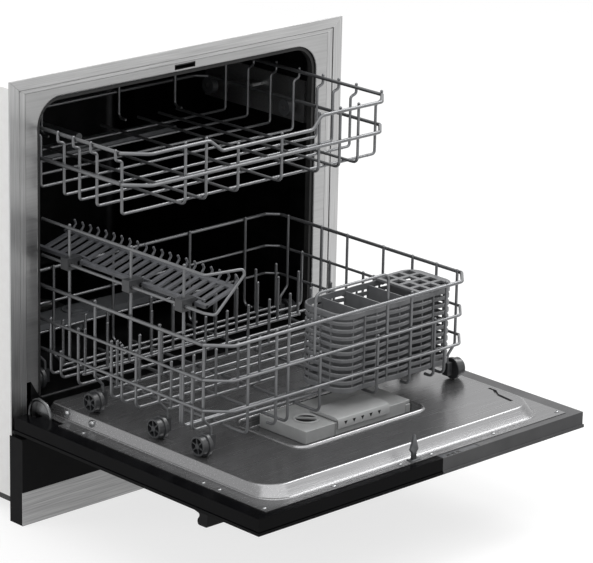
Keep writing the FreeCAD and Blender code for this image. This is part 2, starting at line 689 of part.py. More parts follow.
# Striker: a sprung steel spear that enters the latch when the door shuts
striker_sizes = {
    "striker_half": 4.5, "barb_half": 9, "barb_rise": 12, "striker_rise": 20, "striker_tip": 34.3,
    "striker_thick": 2.5, "striker_across": -3, "striker_foot": 16,
}
s.add(striker_sizes)
striker_along = s.hinge_along - (s.latch_high - s.hinge_high)
striker = body_of("latch_striker")
sx = s.striker_across
pad(striker, "XZ_Plane", (striker_along - s.striker_thick / 2, striker_along + s.striker_thick / 2),
    polygon, [
    (sx - s.striker_half, liner_top + thin / 2), (sx + s.striker_half, liner_top + thin / 2),
    (sx + s.striker_half * 0.7, liner_top + s.barb_rise), (sx + s.barb_half,
        liner_top + s.striker_rise * 0.7),
    (sx + s.striker_half * 0.8, liner_top + s.striker_rise), (sx, liner_top + s.striker_tip),
    (sx - s.striker_half * 0.8, liner_top + s.striker_rise), (sx - s.barb_half,
        liner_top + s.striker_rise * 0.7),
    (sx - s.striker_half * 0.7, liner_top + s.barb_rise)])
pad(striker, "XY_Plane", (liner_top, liner_top + thin), rounded, (sx - s.striker_foot, sx + s.striker_foot),
    (striker_along - s.striker_foot / 4, striker_along + s.striker_foot / 4), s.striker_foot / 5)

# Dispenser: its housing in the well, the sliding lid over the cup, and the rinse aid cap
dispenser_sizes = {
    "disp_left": -80, "disp_right": 107, "disp_fore": -335, "disp_aft": -258, "disp_top": 170,
    "disp_corner": 8, "lid_left": -24, "lid_right": 71, "lid_aft": -283, "lid_thick": 5.5,
    "tongue_half": 3, "tongue_deep": 3, "cup_right": 44, "cup_wall": 6, "cup_floor": 156,
    "cap_across": -46, "cap_along": -300, "cap_radius": 18, "cap_high": 3.5,
    "cap_stem": 8, "cap_reach": 6, "cap_bar_long": 13, "cap_bar_half": 3, "cap_bar_high": 3,
}
s.add(dispenser_sizes)
dispenser = body_of("dispenser_body")
pad(dispenser, "XY_Plane", (well_floor, s.disp_top), rounded,
    (s.disp_left, s.disp_right), (s.disp_fore, s.disp_aft), s.disp_corner)
lid_mid = (s.disp_fore + s.lid_aft) / 2
pocket(dispenser, "XY_Plane", (s.cup_floor, s.disp_top + s.overrun), rounded,
       (s.lid_left + s.cup_wall, s.cup_right), (s.disp_fore + s.cup_wall, s.lid_aft - s.cup_wall),
       s.cup_wall)
pocket(dispenser, "XY_Plane", (s.disp_top - s.tongue_deep, s.disp_top + s.overrun), polygon, [
    (s.cup_right - s.overrun, lid_mid - s.tongue_half), (s.disp_right + s.overrun, lid_mid - s.tongue_half),
    (s.disp_right + s.overrun, lid_mid + s.tongue_half), (s.cup_right - s.overrun,
        lid_mid + s.tongue_half)])
pocket(dispenser, "XY_Plane", (s.disp_top - s.cap_reach, s.disp_top + s.overrun), circle,
       s.cap_across, s.cap_along, s.cap_stem + s.joint_play)
lid = body_of("dispenser_lid")
lid_low = s.disp_top + s.gap
pad(lid, "XY_Plane", (lid_low, lid_low + s.lid_thick), rounded,
    (s.lid_left, s.lid_right), (s.disp_fore, s.lid_aft), s.tongue_half)
pad(lid, "XY_Plane", (lid_low - s.tongue_deep, lid_low + s.gap), polygon, [
    (s.cup_right + s.gap, lid_mid - s.tongue_half + s.gap), (s.lid_right, lid_mid - s.tongue_half + s.gap),
    (s.lid_right, lid_mid + s.tongue_half - s.gap), (s.cup_right + s.gap, lid_mid + s.tongue_half - s.gap)])
cap_low = s.disp_top + s.gap
stem_low = s.disp_top - s.cap_reach + s.gap
cap = turned("cap_turn", [
    (ZERO, stem_low - cap_low), (s.cap_stem, stem_low - cap_low), (s.cap_stem, ZERO), (s.cap_radius, ZERO),
    (s.cap_radius, s.cap_high * 0.7), (s.cap_radius * 0.94, s.cap_high), (ZERO, s.cap_high)],
    "Z", s.cap_across, s.cap_along, cap_low, name="")
bar = block((s.cap_across - s.cap_bar_long, s.cap_across + s.cap_bar_long),
            (s.cap_along - s.cap_bar_half, s.cap_along + s.cap_bar_half),
            (cap_low, cap_low + s.cap_high + s.cap_bar_high))
node("rinse_aid_cap", fuse(cap, bar))

# Below the tub: sump, filter, pumps, softener and water connections
sump_sizes = {
    "sump_bore": 41.5, "sump_wall": 2.5, "sump_flange": 58, "sump_flange_thick": 3, "sump_foot": 80,
    "filter_out": 38, "filter_wall": 2, "filter_rim": 52, "filter_rim_thick": 2, "filter_rest": 5,
    "grip_bar_half": 4, "grip_bar_high": 4,
}
s.add(sump_sizes)
tub_under = basin_floor - s.gauge
sump_low = s.sump_foot
sump_out = s.sump_bore + s.sump_wall
turned("sump", [
    (ZERO, sump_low), (sump_out, sump_low), (sump_out, tub_under - s.sump_flange_thick),
    (s.sump_flange, tub_under - s.sump_flange_thick), (s.sump_flange, tub_under), (s.sump_bore, tub_under),
    (s.sump_bore, sump_low + s.sump_wall), (ZERO, sump_low + s.sump_wall)], "Z", ZERO, s.sump_along, ZERO)
filter_low = sump_low + s.filter_rest
rim_low = basin_floor + s.gap
filter_in = s.filter_out - s.filter_wall
basket = turned("filter_turn", [
    (ZERO, filter_low), (s.filter_out, filter_low), (s.filter_out, rim_low), (s.filter_rim, rim_low),
    (s.filter_rim, rim_low + s.filter_rim_thick), (filter_in, rim_low + s.filter_rim_thick),
    (filter_in, filter_low + s.filter_wall), (ZERO, filter_low + s.filter_wall)],
    "Z", ZERO, s.sump_along, ZERO, name="")
grip = block((-s.filter_out, s.filter_out), (s.sump_along - s.grip_bar_half,
    s.sump_along + s.grip_bar_half),
             (rim_low, rim_low + s.filter_rim_thick + s.grip_bar_high))
node("filter_basket", fuse(basket, grip))

pump_sizes = {
    "pump_high": 98, "pump_pipe": 14, "volute_radius": 44, "volute_from": 20, "volute_long": 34,
    "motor_radius": 35, "motor_long": 78, "pump_foot_half": 14, "drain_pump_radius": 22,
    "drain_pump_pipe": 9, "drain_pump_from": 14, "drain_pump_long": 60,
}
s.add(pump_sizes)
pump = turned("pump_turn", [
    (ZERO, ZERO), (s.pump_pipe, ZERO), (s.pump_pipe, s.volute_from), (s.volute_radius, s.volute_from),
    (s.volute_radius, s.volute_from + s.volute_long), (s.motor_radius, s.volute_from + s.volute_long),
    (s.motor_radius, s.volute_from + s.volute_long + s.motor_long),
    (ZERO, s.volute_from + s.volute_long + s.motor_long)],
    "X", sump_out, s.sump_along, s.pump_high, name="")
motor_from = sump_out + s.volute_from + s.volute_long
pump_foot = block((motor_from, motor_from + s.motor_long), (s.sump_along - s.pump_foot_half,
    s.sump_along + s.pump_foot_half),
                  (pan_deck, s.pump_high))
node("circulation_pump", fuse(pump, pump_foot))
drain_front = s.sump_along - sump_out
drain_pump = turned("drain_turn", [
    (ZERO, -s.drain_pump_from - s.drain_pump_long), (s.drain_pump_radius,
        -s.drain_pump_from - s.drain_pump_long),
    (s.drain_pump_radius, -s.drain_pump_from), (s.drain_pump_pipe, -s.drain_pump_from),
    (s.drain_pump_pipe, ZERO),
    (ZERO, ZERO)], "Y", ZERO, drain_front, s.pump_high, name="")
drain_mid = drain_front - s.drain_pump_from - s.drain_pump_long / 2
drain_foot = block((-s.pump_foot_half, s.pump_foot_half), (drain_mid - s.pump_foot_half,
    drain_mid + s.pump_foot_half),
                   (pan_deck, s.pump_high))
node("drain_pump", fuse(drain_pump, drain_foot))

softener_sizes = {
    "salt_across": -130, "salt_along": 330, "neck_radius": 24, "salt_cap_radius": 29,
    "salt_cap_high": 6, "tank_half": 56, "tank_low": 40, "tank_long": 60, "neck_bore": 20,
    "neck_deep": 30,
}
s.add(softener_sizes)
neck_top = basin_floor
pocket(tub, "XY_Plane", (below_tub, tub_floor), circle, s.salt_across, s.salt_along, s.neck_radius)
softener = body_of("water_softener")
pad(softener, "XY_Plane", (s.tank_low, tub_under - s.gap), rounded, (s.salt_across - s.tank_half,
    s.salt_across + s.tank_half),
    (s.salt_along - s.tank_long, s.salt_along + s.tank_long), s.neck_bore)
pad(softener, "XY_Plane", (s.tank_low, neck_top), circle, s.salt_across, s.salt_along, s.neck_radius)
pocket(softener, "XY_Plane", (neck_top - s.neck_deep, neck_top + s.overrun), circle, s.salt_across,
    s.salt_along, s.neck_bore)
pad(softener, "XY_Plane", (pan_deck, s.tank_low), circle, s.salt_across, s.salt_along, s.neck_bore)
salt_low = neck_top + s.gap
salt = turned("salt_turn", [
    (ZERO, -s.neck_deep / 2), (s.neck_bore - s.joint_play, -s.neck_deep / 2), (s.neck_bore - s.joint_play,
        ZERO),
    (s.salt_cap_radius, ZERO), (s.salt_cap_radius, s.salt_cap_high), (ZERO, s.salt_cap_high)],
    "Z", s.salt_across, s.salt_along, salt_low, name="")
salt_bar = block((s.salt_across - s.neck_bore, s.salt_across + s.neck_bore),
                 (s.salt_along - s.grip_bar_half, s.salt_along + s.grip_bar_half),
                 (salt_low, salt_low + s.salt_cap_high + s.grip_bar_high))
node("salt_cap", fuse(salt, salt_bar))

valve_sizes = {
    "valve_half": 20, "valve_long": 44, "inlet_reach": 12, "drain_reach": 26, "bore_wall": 3,
    "collar_rim": 3, "collar_thick": 2,
}
s.add(valve_sizes)
valve_front = s.case_back - s.valve_long
panel_face = s.case_back + s.case_sheet
thread_end = panel_face + s.inlet_reach
valve = block((s.inlet_across - s.valve_half, s.inlet_across + s.valve_half), (valve_front, s.case_back),
              (s.inlet_high - s.valve_half, s.inlet_high + s.valve_half))
thread = rod(s.inlet_radius, thread_end - valve_front, s.inlet_across, valve_front, s.inlet_high, "Y")
inlet_bore = rod(s.inlet_radius - s.bore_wall, s.inlet_reach + s.overrun, s.inlet_across,
                 thread_end - s.inlet_reach, s.inlet_high, "Y")
inlet_collar = rod(s.inlet_radius + s.collar_rim, s.collar_thick, s.inlet_across, panel_face, s.inlet_high, "Y")
node("inlet_valve", cut(fuse(valve, thread, inlet_collar), inlet_bore))
spigot_end = panel_face + s.drain_reach
drain_block = block((s.drain_across - s.valve_half, s.drain_across + s.valve_half), (valve_front,
    s.case_back),
                    (s.drain_high - s.valve_half, s.drain_high + s.valve_half))
spigot = rod(s.drain_radius, spigot_end - valve_front, s.drain_across, valve_front, s.drain_high, "Y")
drain_bore = rod(s.drain_radius - s.bore_wall, s.drain_reach + s.overrun, s.drain_across,
                 spigot_end - s.drain_reach, s.drain_high, "Y")
drain_collar = rod(s.drain_radius + s.collar_rim, s.collar_thick, s.drain_across, panel_face, s.drain_high, "Y")
node("drain_outlet", cut(fuse(drain_block, spigot, drain_collar), drain_bore))

# Latch housing behind the slot in the tub's flange
latch_sizes = {
    "latch_house_half": 26, "latch_house_deep": 34, "latch_wall": 1.2,
}
s.add(latch_sizes)
latch_in = flange_rear
house_low = s.opening_top + s.gauge
house = body_of("latch_housing")
house_mid = s.latch_across
pad(house, "XZ_Plane", (latch_in, latch_in + s.latch_house_deep), polygon, [
    (house_mid - s.latch_house_half, house_low), (house_mid + s.latch_house_half, house_low),
    (house_mid + s.latch_house_half, frame_hole_top - s.gap), (house_mid - s.latch_house_half,
        frame_hole_top - s.gap)])
pocket(house, "XZ_Plane", (latch_in - s.overrun, latch_in + s.latch_house_deep - s.latch_wall), polygon, [
    (s.latch_across - latch_half, latch_low), (s.latch_across + latch_half, latch_low),
    (s.latch_across + latch_half, latch_top), (s.latch_across - latch_half, latch_top)])

# Spray arms on their feeds
lower_arm_sizes = {
    "feed_radius": 12, "feed_top": 182, "hub_radius": 20, "arm_low": 168, "arm_thick": 9,
    "arm_long": 188, "arm_root": 24, "arm_tip": 15, "hub_low": 165.5, "hub_high": 14, "feed_drop": 24,
    "feed_collar": 16, "duct_radius": 8, "nut_thick": 3,
}
s.add(lower_arm_sizes)
feed_low = tub_under - s.feed_drop
lower_post = rod(s.feed_radius, s.feed_top - feed_low, s.arm_across, s.arm_along, feed_low)
collar = rod(s.feed_collar, s.nut_thick, s.arm_across, s.arm_along, s.hub_low - s.gap - s.nut_thick)
duct = rod(s.duct_radius, s.sump_along - sump_out - s.arm_along, s.arm_across, s.arm_along,
    feed_low + s.duct_radius, "Y")
lower_feed = fuse(lower_post, collar, duct)


def spray_arm(label, across, along, low, hub_low, hub_high, bore, reach):
    """A flat arm with two blades that narrow to their tips, and a hub with its bore."""
    body = body_of(label)
    top = low + s.arm_thick
    pad(body, "XY_Plane", (low, top), polygon, [
        (across - reach, along - s.arm_tip), (across, along - s.arm_root), (across + reach,
            along - s.arm_tip),
        (across + reach, along + s.arm_tip), (across, along + s.arm_root), (across - reach,
            along + s.arm_tip)])
    pad(body, "XY_Plane", (hub_low, hub_low + hub_high), circle, across, along, s.hub_radius)
    pocket(body, "XY_Plane", (hub_low - s.overrun, top + s.hub_radius), circle, across, along, bore)
    return body


spray_arm("lower_spray_arm", s.arm_across, s.arm_along, s.arm_low, s.hub_low, s.hub_high,
          s.feed_radius + s.joint_play, s.arm_long)
upper_arm_sizes = {
    "pipe_radius": 7, "branch_radius": 6, "pipe_high": 433.5, "pipe_along": 432, "upper_pin": 5,
    "upper_low": 413, "upper_long": 176, "upper_hub_high": 12, "upper_nut": 9,
}
s.add(upper_arm_sizes)
riser = rod(s.pipe_radius, s.pipe_high + s.branch_radius - tub_floor, ZERO, s.pipe_along, tub_floor)
run = rod(s.branch_radius, s.pipe_along - s.arm_along + s.pipe_radius, ZERO, s.arm_along - s.pipe_radius,
    s.pipe_high, "Y")
hanger = rod(s.upper_pin, s.pipe_high - s.upper_low + s.gap + s.nut_thick, ZERO, s.arm_along,
    s.upper_low - s.gap - s.nut_thick)
nut = rod(s.upper_nut, s.nut_thick, ZERO, s.arm_along, s.upper_low - s.gap - s.nut_thick)
upper_feed = fuse(riser, run, hanger, nut)
node("spray_feed_pipes", group(lower_feed, upper_feed))
spray_arm("upper_spray_arm", ZERO, s.arm_along, s.upper_low, s.upper_low, s.upper_hub_high,
          s.upper_pin + s.joint_play, s.upper_long)

# Guides for the upper rack: a bracket on each tub wall with two rollers and a hold down finger
guide_sizes = {
    "runner_high": 488, "runner_across": 231.5, "rail_radius": 2.5, "wire_radius": 2, "weld": 0.4,
    "roller_radius": 12, "roller_in": 230, "roller_out": 240, "roller_front": 45, "roller_back": 205,
    "bracket_plate": 4, "bracket_fore": 20, "bracket_aft": 228, "bracket_down": 20, "bracket_up": 26,
    "roller_pin": 3, "finger_from": 110, "finger_to": 140, "finger_thick": 4,
}
s.add(guide_sizes)
roller_high = s.runner_high - s.rail_radius - s.gap - s.roller_radius
plate_in = s.opening_half - s.bracket_plate
guides = []
for side in (-1, 1):
    def span(near, far, side=side):
        return (near, far) if side > 0 else (-far, -near)
    plate = block(span(plate_in, s.opening_half), (s.bracket_fore, s.bracket_aft),
                  (roller_high - s.bracket_down, s.runner_high + s.bracket_up))
    parts = [plate]
    for y in (s.roller_front, s.roller_back):
        pin_span = span(s.roller_in, plate_in)
        parts.append(rod(s.roller_pin, plate_in - s.roller_in, pin_span[0], y, roller_high, "X"))
    finger_low = s.runner_high + s.rail_radius + s.gap
    parts.append(block(span(s.roller_in, plate_in), (s.finger_from, s.finger_to), (finger_low,
        finger_low + s.finger_thick)))
    guides.append(fuse(*parts))
node("roller_brackets", group(*guides))
for side, word in ((-1, "left"), (1, "right")):
    for place_word, y in (("front", s.roller_front), ("rear", s.roller_back)):
        x = s.roller_in if side > 0 else -s.roller_out
        bore = s.roller_pin + s.joint_play
        wide = s.roller_out - s.roller_in
        profile = [
            (bore, ZERO), (s.roller_radius, ZERO), (s.roller_radius, wide), (bore, wide)]
        turned("guide_roller_" + place_word + "_" + word, profile, "X", x, y, roller_high)

# Lower rack: coated wires welded into a floor, two sides and two ends
lower_rack_sizes = {
    "rack_half": 233.5, "low_front": -333, "low_back": 65, "rack_corner": 27, "heel_corner": 15,
    "low_top_rail": 315, "low_mid_rail": 268, "low_low_rail": 227, "low_floor": 193, "butt": 1.5,
    "toe_in": 15, "knob": 3, "wheel_toe": 13.4, "wheel_wire_end": 190,
}
s.add(lower_rack_sizes)
rail_reach = s.rail_radius + s.wire_radius - s.weld
post_half = s.rack_half - rail_reach
rack_long = s.low_back - s.low_front
joint_front = s.low_front + s.rack_corner + s.butt
joint_back = s.low_back - s.heel_corner - s.butt
hair = s.joint_play
toe_half = post_half - s.toe_in
thinner = s.rail_radius - s.wire_radius
thin_half = s.rack_half - thinner
low_rails = (
    (s.low_top_rail, s.rail_radius, ZERO), (s.low_mid_rail, s.wire_radius, thinner), (s.low_low_rail,
        s.wire_radius, thinner))


def ring_path(half, front, height, end):
    """Half the loop of a rail, seen from above: the front end with its two cut corners."""
    corner = s.rack_corner
    return [(-half, end, height), (-half, front + corner, height), (corner - half, front, height),
            (half - corner, front, height), (half, front + corner, height), (half, end, height)]


def ring_back(half, back, height, end):
    """The other half of the loop, with smaller corners."""
    corner = s.heel_corner
    return [(-half, end, height), (-half, back - corner, height), (corner - half, back, height),
            (half - corner, back, height), (half, back - corner, height), (half, end, height)]


def side_post(side, y, top, floor, half, toe):
    """A side wire: it stands inside the rails and turns in to meet the floor."""
    return [(half * side, y, top), (half * side, y, floor), (toe * side, y, floor)]


def end_post(x, out, sign, top, floor, toe):
    """An end wire: the same, turned in from the front or the back."""
    return [(x, out, top), (x, out, floor), (x, out + toe * sign, floor)]


wheel_post_shares = (0.0785, 0.291, 0.611, 0.912)
top_post_shares = (0.176,)
mid_post_shares = (0.131, 0.186, 0.4045, 0.475, 0.528, 0.696, 0.839)
low_post_shares = (0.786,)
tall_post_shares = (0.176, 0.432, 0.741)
front_top_shares = (-0.762, -0.552, -0.4625, 0.4925, 0.775)
front_mid_shares = (-0.218, 0.231, 0.6895)
back_post_shares = (-0.75, -0.3, 0.3, 0.75)


def low_at(share):
    return s.low_front + rack_long * share


sides = []
for side in (-1, 1):
    pieces = []
    for height, radius, inset in low_rails:
        across = (s.rack_half - inset) * side
        pieces.append(wire([(across, joint_front + hair, height), (across, joint_back - hair, height)],
            radius))
    for share in wheel_post_shares:
        y = low_at(share)
        drop = s.low_low_rail - s.wheel_toe
        pieces.append(wire([
            (post_half * side, y, s.low_top_rail + s.knob), (post_half * side, y, drop),
            ((post_half - s.wheel_toe) * side, y, drop - s.wheel_toe),
            ((post_half - s.wheel_toe) * side, y, s.wheel_wire_end)], s.wire_radius))
    rows = [(share, s.low_mid_rail) for share in mid_post_shares]
    rows += [(share, s.low_low_rail) for share in low_post_shares]
    rows += [(share, s.low_top_rail) for share in top_post_shares]
    for share, foot in zip(tall_post_shares[1:], (s.low_mid_rail, s.low_low_rail)):
        y = low_at(share)
        pieces.append(wire([(post_half * side, y, s.low_top_rail + s.knob), (post_half * side, y,
            foot - s.knob)],
                           s.wire_radius))
    for share, top in rows:
        post = side_post(side, low_at(share), top + s.knob, s.low_floor, post_half, toe_half)
        pieces.append(wire(post, s.wire_radius))
    solid = pieces[0].multiFuse(pieces[1:]).removeSplitter()
    sides.append(solid)
both = doc.addObject("Part::Feature", "lower_rack_sides")
both.Shape = Part.Compound([item for solid in sides for item in solid.Solids])
node("lower_rack_sides", both)

# Its front and back ends, and the wire bail on the front
bail_sizes = {
    "bail_left": -62, "bail_right": 70, "bail_top": 353, "bail_bend": 8,
}
s.add(bail_sizes)
end_out = s.low_front + rail_reach
end_in = s.low_back - rail_reach
long_floor = s.low_floor - s.wire_radius * 2 + s.weld
pieces = []
for height, radius, inset in low_rails:
    pieces.append(wire(ring_path(s.rack_half - inset, s.low_front + inset, height, joint_front), radius))
for share in front_top_shares + front_mid_shares:
    top = s.low_top_rail if share in front_top_shares else s.low_mid_rail
    pieces.append(wire(end_post(s.rack_half * share, end_out, 1, top + s.knob, long_floor, s.toe_in),
        s.wire_radius))
bail_path = [
    (s.bail_left, end_out, s.low_mid_rail - s.knob), (s.bail_left, end_out, s.bail_top - s.bail_bend),
    (s.bail_left + s.bail_bend, end_out, s.bail_top), (s.bail_right - s.bail_bend, end_out, s.bail_top),
    (s.bail_right, end_out, s.bail_top - s.bail_bend), (s.bail_right, end_out, s.low_mid_rail - s.knob)]
pieces.append(wire(bail_path, s.wire_radius))
front_end = pieces[0].multiFuse(pieces[1:]).removeSplitter()
pieces = []
for height, radius, inset in low_rails:
    pieces.append(wire(ring_back(s.rack_half - inset, s.low_back - inset, height, joint_back), radius))
for share in back_post_shares:
    pieces.append(wire(end_post(s.rack_half * share, end_in, -1, s.low_top_rail + s.knob, long_floor,
        s.toe_in),
                       s.wire_radius))
back_end = pieces[0].multiFuse(pieces[1:]).removeSplitter()
ends = doc.addObject("Part::Feature", "lower_rack_ends")
ends.Shape = Part.Compound(front_end.Solids + back_end.Solids)
node("lower_rack_ends", ends)

# Its floor: cross wires between the side wires' toes, and long wires beneath them
floor_half = toe_half - s.gap
long_front = end_out + s.toe_in + s.gap
long_back = end_in - s.toe_in - s.gap
pieces = []
for share in mid_post_shares + low_post_shares + top_post_shares:
    y = low_at(share)
    pieces.append(wire([(-floor_half, y, s.low_floor), (floor_half, y, s.low_floor)], s.wire_radius))
floor_long_shares = (-0.762, -0.4625, -0.218, 0.231, 0.775)
for share in floor_long_shares:
    x = s.rack_half * share
    pieces.append(wire([(x, long_front, long_floor), (x, long_back, long_floor)], s.wire_radius))
welded("lower_rack_floor", pieces)

# Tine rows, standing on the long wires
tine_sizes = {
    "tine_top": 256, "tine_pitch": 39, "tine_from": -195, "tine_to": 195, "tine_gap": -15,
}
s.add(tine_sizes)
tine_row_shares = ((0.33, 0), (0.6, 1), (0.765, 1), (0.88, 1))
tine_base = long_floor + s.wire_radius * 2
combs = []
for share, whole in tine_row_shares:
    y = low_at(share)
    end = s.tine_to if whole else s.tine_gap
    pieces = [wire([(s.tine_from - s.knob, y, tine_base), (end + s.knob, y, tine_base)], s.wire_radius)]
    for i in range(int((float(end) - float(s.tine_from)) / float(s.tine_pitch)) + 1):
        x = s.tine_from + s.tine_pitch * i
        pieces.append(wire([(x, y, tine_base), (x, y, s.tine_top)], s.wire_radius))
    combs += pieces[0].multiFuse(pieces[1:]).removeSplitter().Solids
tines = doc.addObject("Part::Feature", "plate_tines")
tines.Shape = Part.Compound(combs)
node("plate_tines", tines)

# Its wheels, on plastic carriers clipped to the bent ends of the side wires
wheel_sizes = {
    "wheel_radius": 15, "wheel_face_radius": 13, "wheel_in": 223.5, "wheel_flange": 6,
    "wheel_wide": 15.5, "axle_radius": 2.5, "carrier_half": 5, "carrier_in": 212, "carrier_out": 221,
    "carrier_low": 172,
}
s.add(wheel_sizes)
wheel_high = tub_floor + s.gap + s.wheel_radius
carriers = []
for side in (-1, 1):
    for share in wheel_post_shares:
        y = low_at(share)
        x = (s.carrier_in, s.carrier_out) if side > 0 else (-s.carrier_out, -s.carrier_in)
        clip = block(x, (y - s.carrier_half, y + s.carrier_half), (s.carrier_low, s.wheel_wire_end))
        axle_end = s.wheel_in + s.wheel_wide
        start = s.carrier_in if side > 0 else -axle_end
        axle = rod(s.axle_radius, axle_end - s.carrier_in, start, y, wheel_high, "X")
        carriers.append(fuse(clip, axle))
node("wheel_carriers", group(*carriers))
for side, word in ((-1, "left"), (1, "right")):
    for i, share in enumerate(wheel_post_shares):
        bore = s.axle_radius + s.joint_play
        face, wide, flange = s.wheel_face_radius, s.wheel_wide, s.wheel_flange
        profile = [
            (bore, ZERO), (s.wheel_radius, ZERO), (s.wheel_radius, flange), (face, flange), (face, wide),
            (bore, wide)]
        if side < 0:
            profile = [(radius, -height) for radius, height in profile]
        label = "wheel_" + word + "_" + str(i + 1)
        turned(label, profile, "X", s.wheel_in * side, low_at(share), wheel_high)

# Shelf frame on the left: one wire bent to two rails and a pointed front, on three uprights
shelf_frame_sizes = {
    "shelf_top": 407, "shelf_low": 357, "shelf_tip_in": 60, "shelf_tip_fore": 13, "shelf_back": 13,
    "shelf_tip_top": 404, "upright_top": 409, "shelf_low_in": 6,
}
s.add(shelf_frame_sizes)
left = -(post_half + s.wire_radius * 2 - s.weld)
shelf_fore = s.low_front + s.rack_corner
loop = [
    (left, s.shelf_back, s.shelf_top), (left, shelf_fore, s.shelf_top),
    (left + s.shelf_tip_in, s.low_front + s.shelf_tip_fore, s.shelf_tip_top),
    (left + s.shelf_low_in, s.low_front + s.shelf_tip_fore, s.shelf_low),
    (left, shelf_fore, s.shelf_low), (left, s.shelf_back, s.shelf_low)]
pieces = [wire(loop, s.wire_radius)]
for share in tall_post_shares:
    y = low_at(share)
    pieces.append(wire([(-post_half, y, s.low_top_rail + s.knob), (-post_half, y, s.upright_top)],
                       s.wire_radius))
welded("shelf_frame", pieces)

# Clips that grip the uprights and the lower shelf wire, bored for the tray's hinge rod
clip_sizes = {
    "clip_out": 238.5, "clip_in": 214.5, "clip_half": 7, "clip_low": 350, "clip_top": 366,
    "tray_hinge": 219, "tray_rod": 3, "tray_front": -290, "tray_back": 46, "wire_play": 0.4,
}
s.add(clip_sizes)
clips = []
grip_radius = s.wire_radius + s.wire_play
for share in tall_post_shares:
    y = low_at(share)
    lump = block((-s.clip_out, -s.clip_in), (y - s.clip_half, y + s.clip_half), (s.clip_low, s.clip_top))
    upright = block((-post_half - grip_radius, grip_radius - post_half), (y - grip_radius, y + grip_radius),
                    (s.clip_low - s.overrun, s.clip_top + s.overrun))
    rail = block((left - grip_radius, left + grip_radius), (y - s.clip_half * 2, y + s.clip_half * 2),
                 (s.shelf_low - grip_radius, s.shelf_low + grip_radius))
    bore = rod(s.tray_rod + s.joint_play, s.clip_half * 4, -s.tray_hinge, y - s.clip_half * 2,
        s.shelf_low, "Y")
    clips.append(cut(lump, upright, rail, bore))
node("shelf_clips", group(*clips))

# Comb tray that folds up on the clips: a slatted floor that rises inward, and a row of prongs
tray_sizes = {
    "tray_in": 160, "tray_rise": 17, "tray_thick": 3, "slat_pitch": 16, "slat_window": 10,
    "slat_edge": 7, "prong_rise": 26, "prong_lean": 5, "prong_thick": 3, "prong_wide": 3,
    "prong_pitch": 16, "notch_room": 1, "notch_reach": 11,
}
s.add(tray_sizes)
tray = body_of("side_shelf")
floor_low = s.shelf_low - s.tray_thick / 2
pad(tray, "XZ_Plane", (s.tray_front, s.tray_back), polygon, [
    (-s.tray_hinge, floor_low), (-s.tray_in, floor_low + s.tray_rise),
    (-s.tray_in, floor_low + s.tray_rise + s.tray_thick), (-s.tray_hinge, floor_low + s.tray_thick)])
for share in tall_post_shares:
    y = low_at(share)
    edge = s.clip_half + s.notch_room
    near = s.notch_reach - s.tray_hinge
    pocket(tray, "XY_Plane", (s.clip_low, s.clip_top + s.tray_rise), polygon, [
        (-s.clip_out, y - edge), (near, y - edge), (near, y + edge), (-s.clip_out, y + edge)])
slat_left = s.notch_reach - s.tray_hinge + s.slat_edge / 2
slat_right = -s.tray_in - s.slat_edge
slat_count = int((float(s.tray_back) - float(s.tray_front)) / float(s.slat_pitch))
window = pocket(tray, "XY_Plane", (s.clip_low, s.clip_top + s.tray_rise), polygon, [
    (slat_left, s.tray_front + s.slat_edge), (slat_right, s.tray_front + s.slat_edge),
    (slat_right, s.tray_front + s.slat_edge + s.slat_window), (slat_left,
        s.tray_front + s.slat_edge + s.slat_window)])


def repeat(body, feature, role, count, pitch):
    """Copies of a feature in a line along one of the body's axes."""
    row = body.newObject("PartDesign::LinearPattern", body.Name + "_row")
    axis = [item for item in body.Origin.OriginFeatures if item.Role == role][0]
    row.Originals = [feature]
    row.Direction = (axis, [""])
    row.Mode = "Spacing"
    row.Occurrences = count
    row.setExpression("Offset", pitch.text)
    body.Tip = row
    return row


repeat(tray, window, "Y_Axis", slat_count, s.slat_pitch)
prong_low = floor_low + s.tray_rise
prong_out = s.tray_in + s.prong_thick
prong = pad(tray, "XZ_Plane", (s.tray_front + s.slat_edge, s.tray_front + s.slat_edge + s.prong_wide),
    polygon, [
    (-prong_out, prong_low), (-s.tray_in, prong_low), (s.prong_lean - s.tray_in, prong_low + s.prong_rise),
    (s.prong_lean - prong_out, prong_low + s.prong_rise)])
prong_count = int((float(s.tray_back) - float(s.tray_front) - float(s.slat_edge)) / float(s.prong_pitch)) + 1
repeat(tray, prong, "Y_Axis", prong_count, s.prong_pitch)
hinge_rod = rod(s.tray_rod, s.tray_back - s.tray_front, -s.tray_hinge, s.tray_front, s.shelf_low, "Y")
node("side_shelf", fuse(tray, hinge_rod))

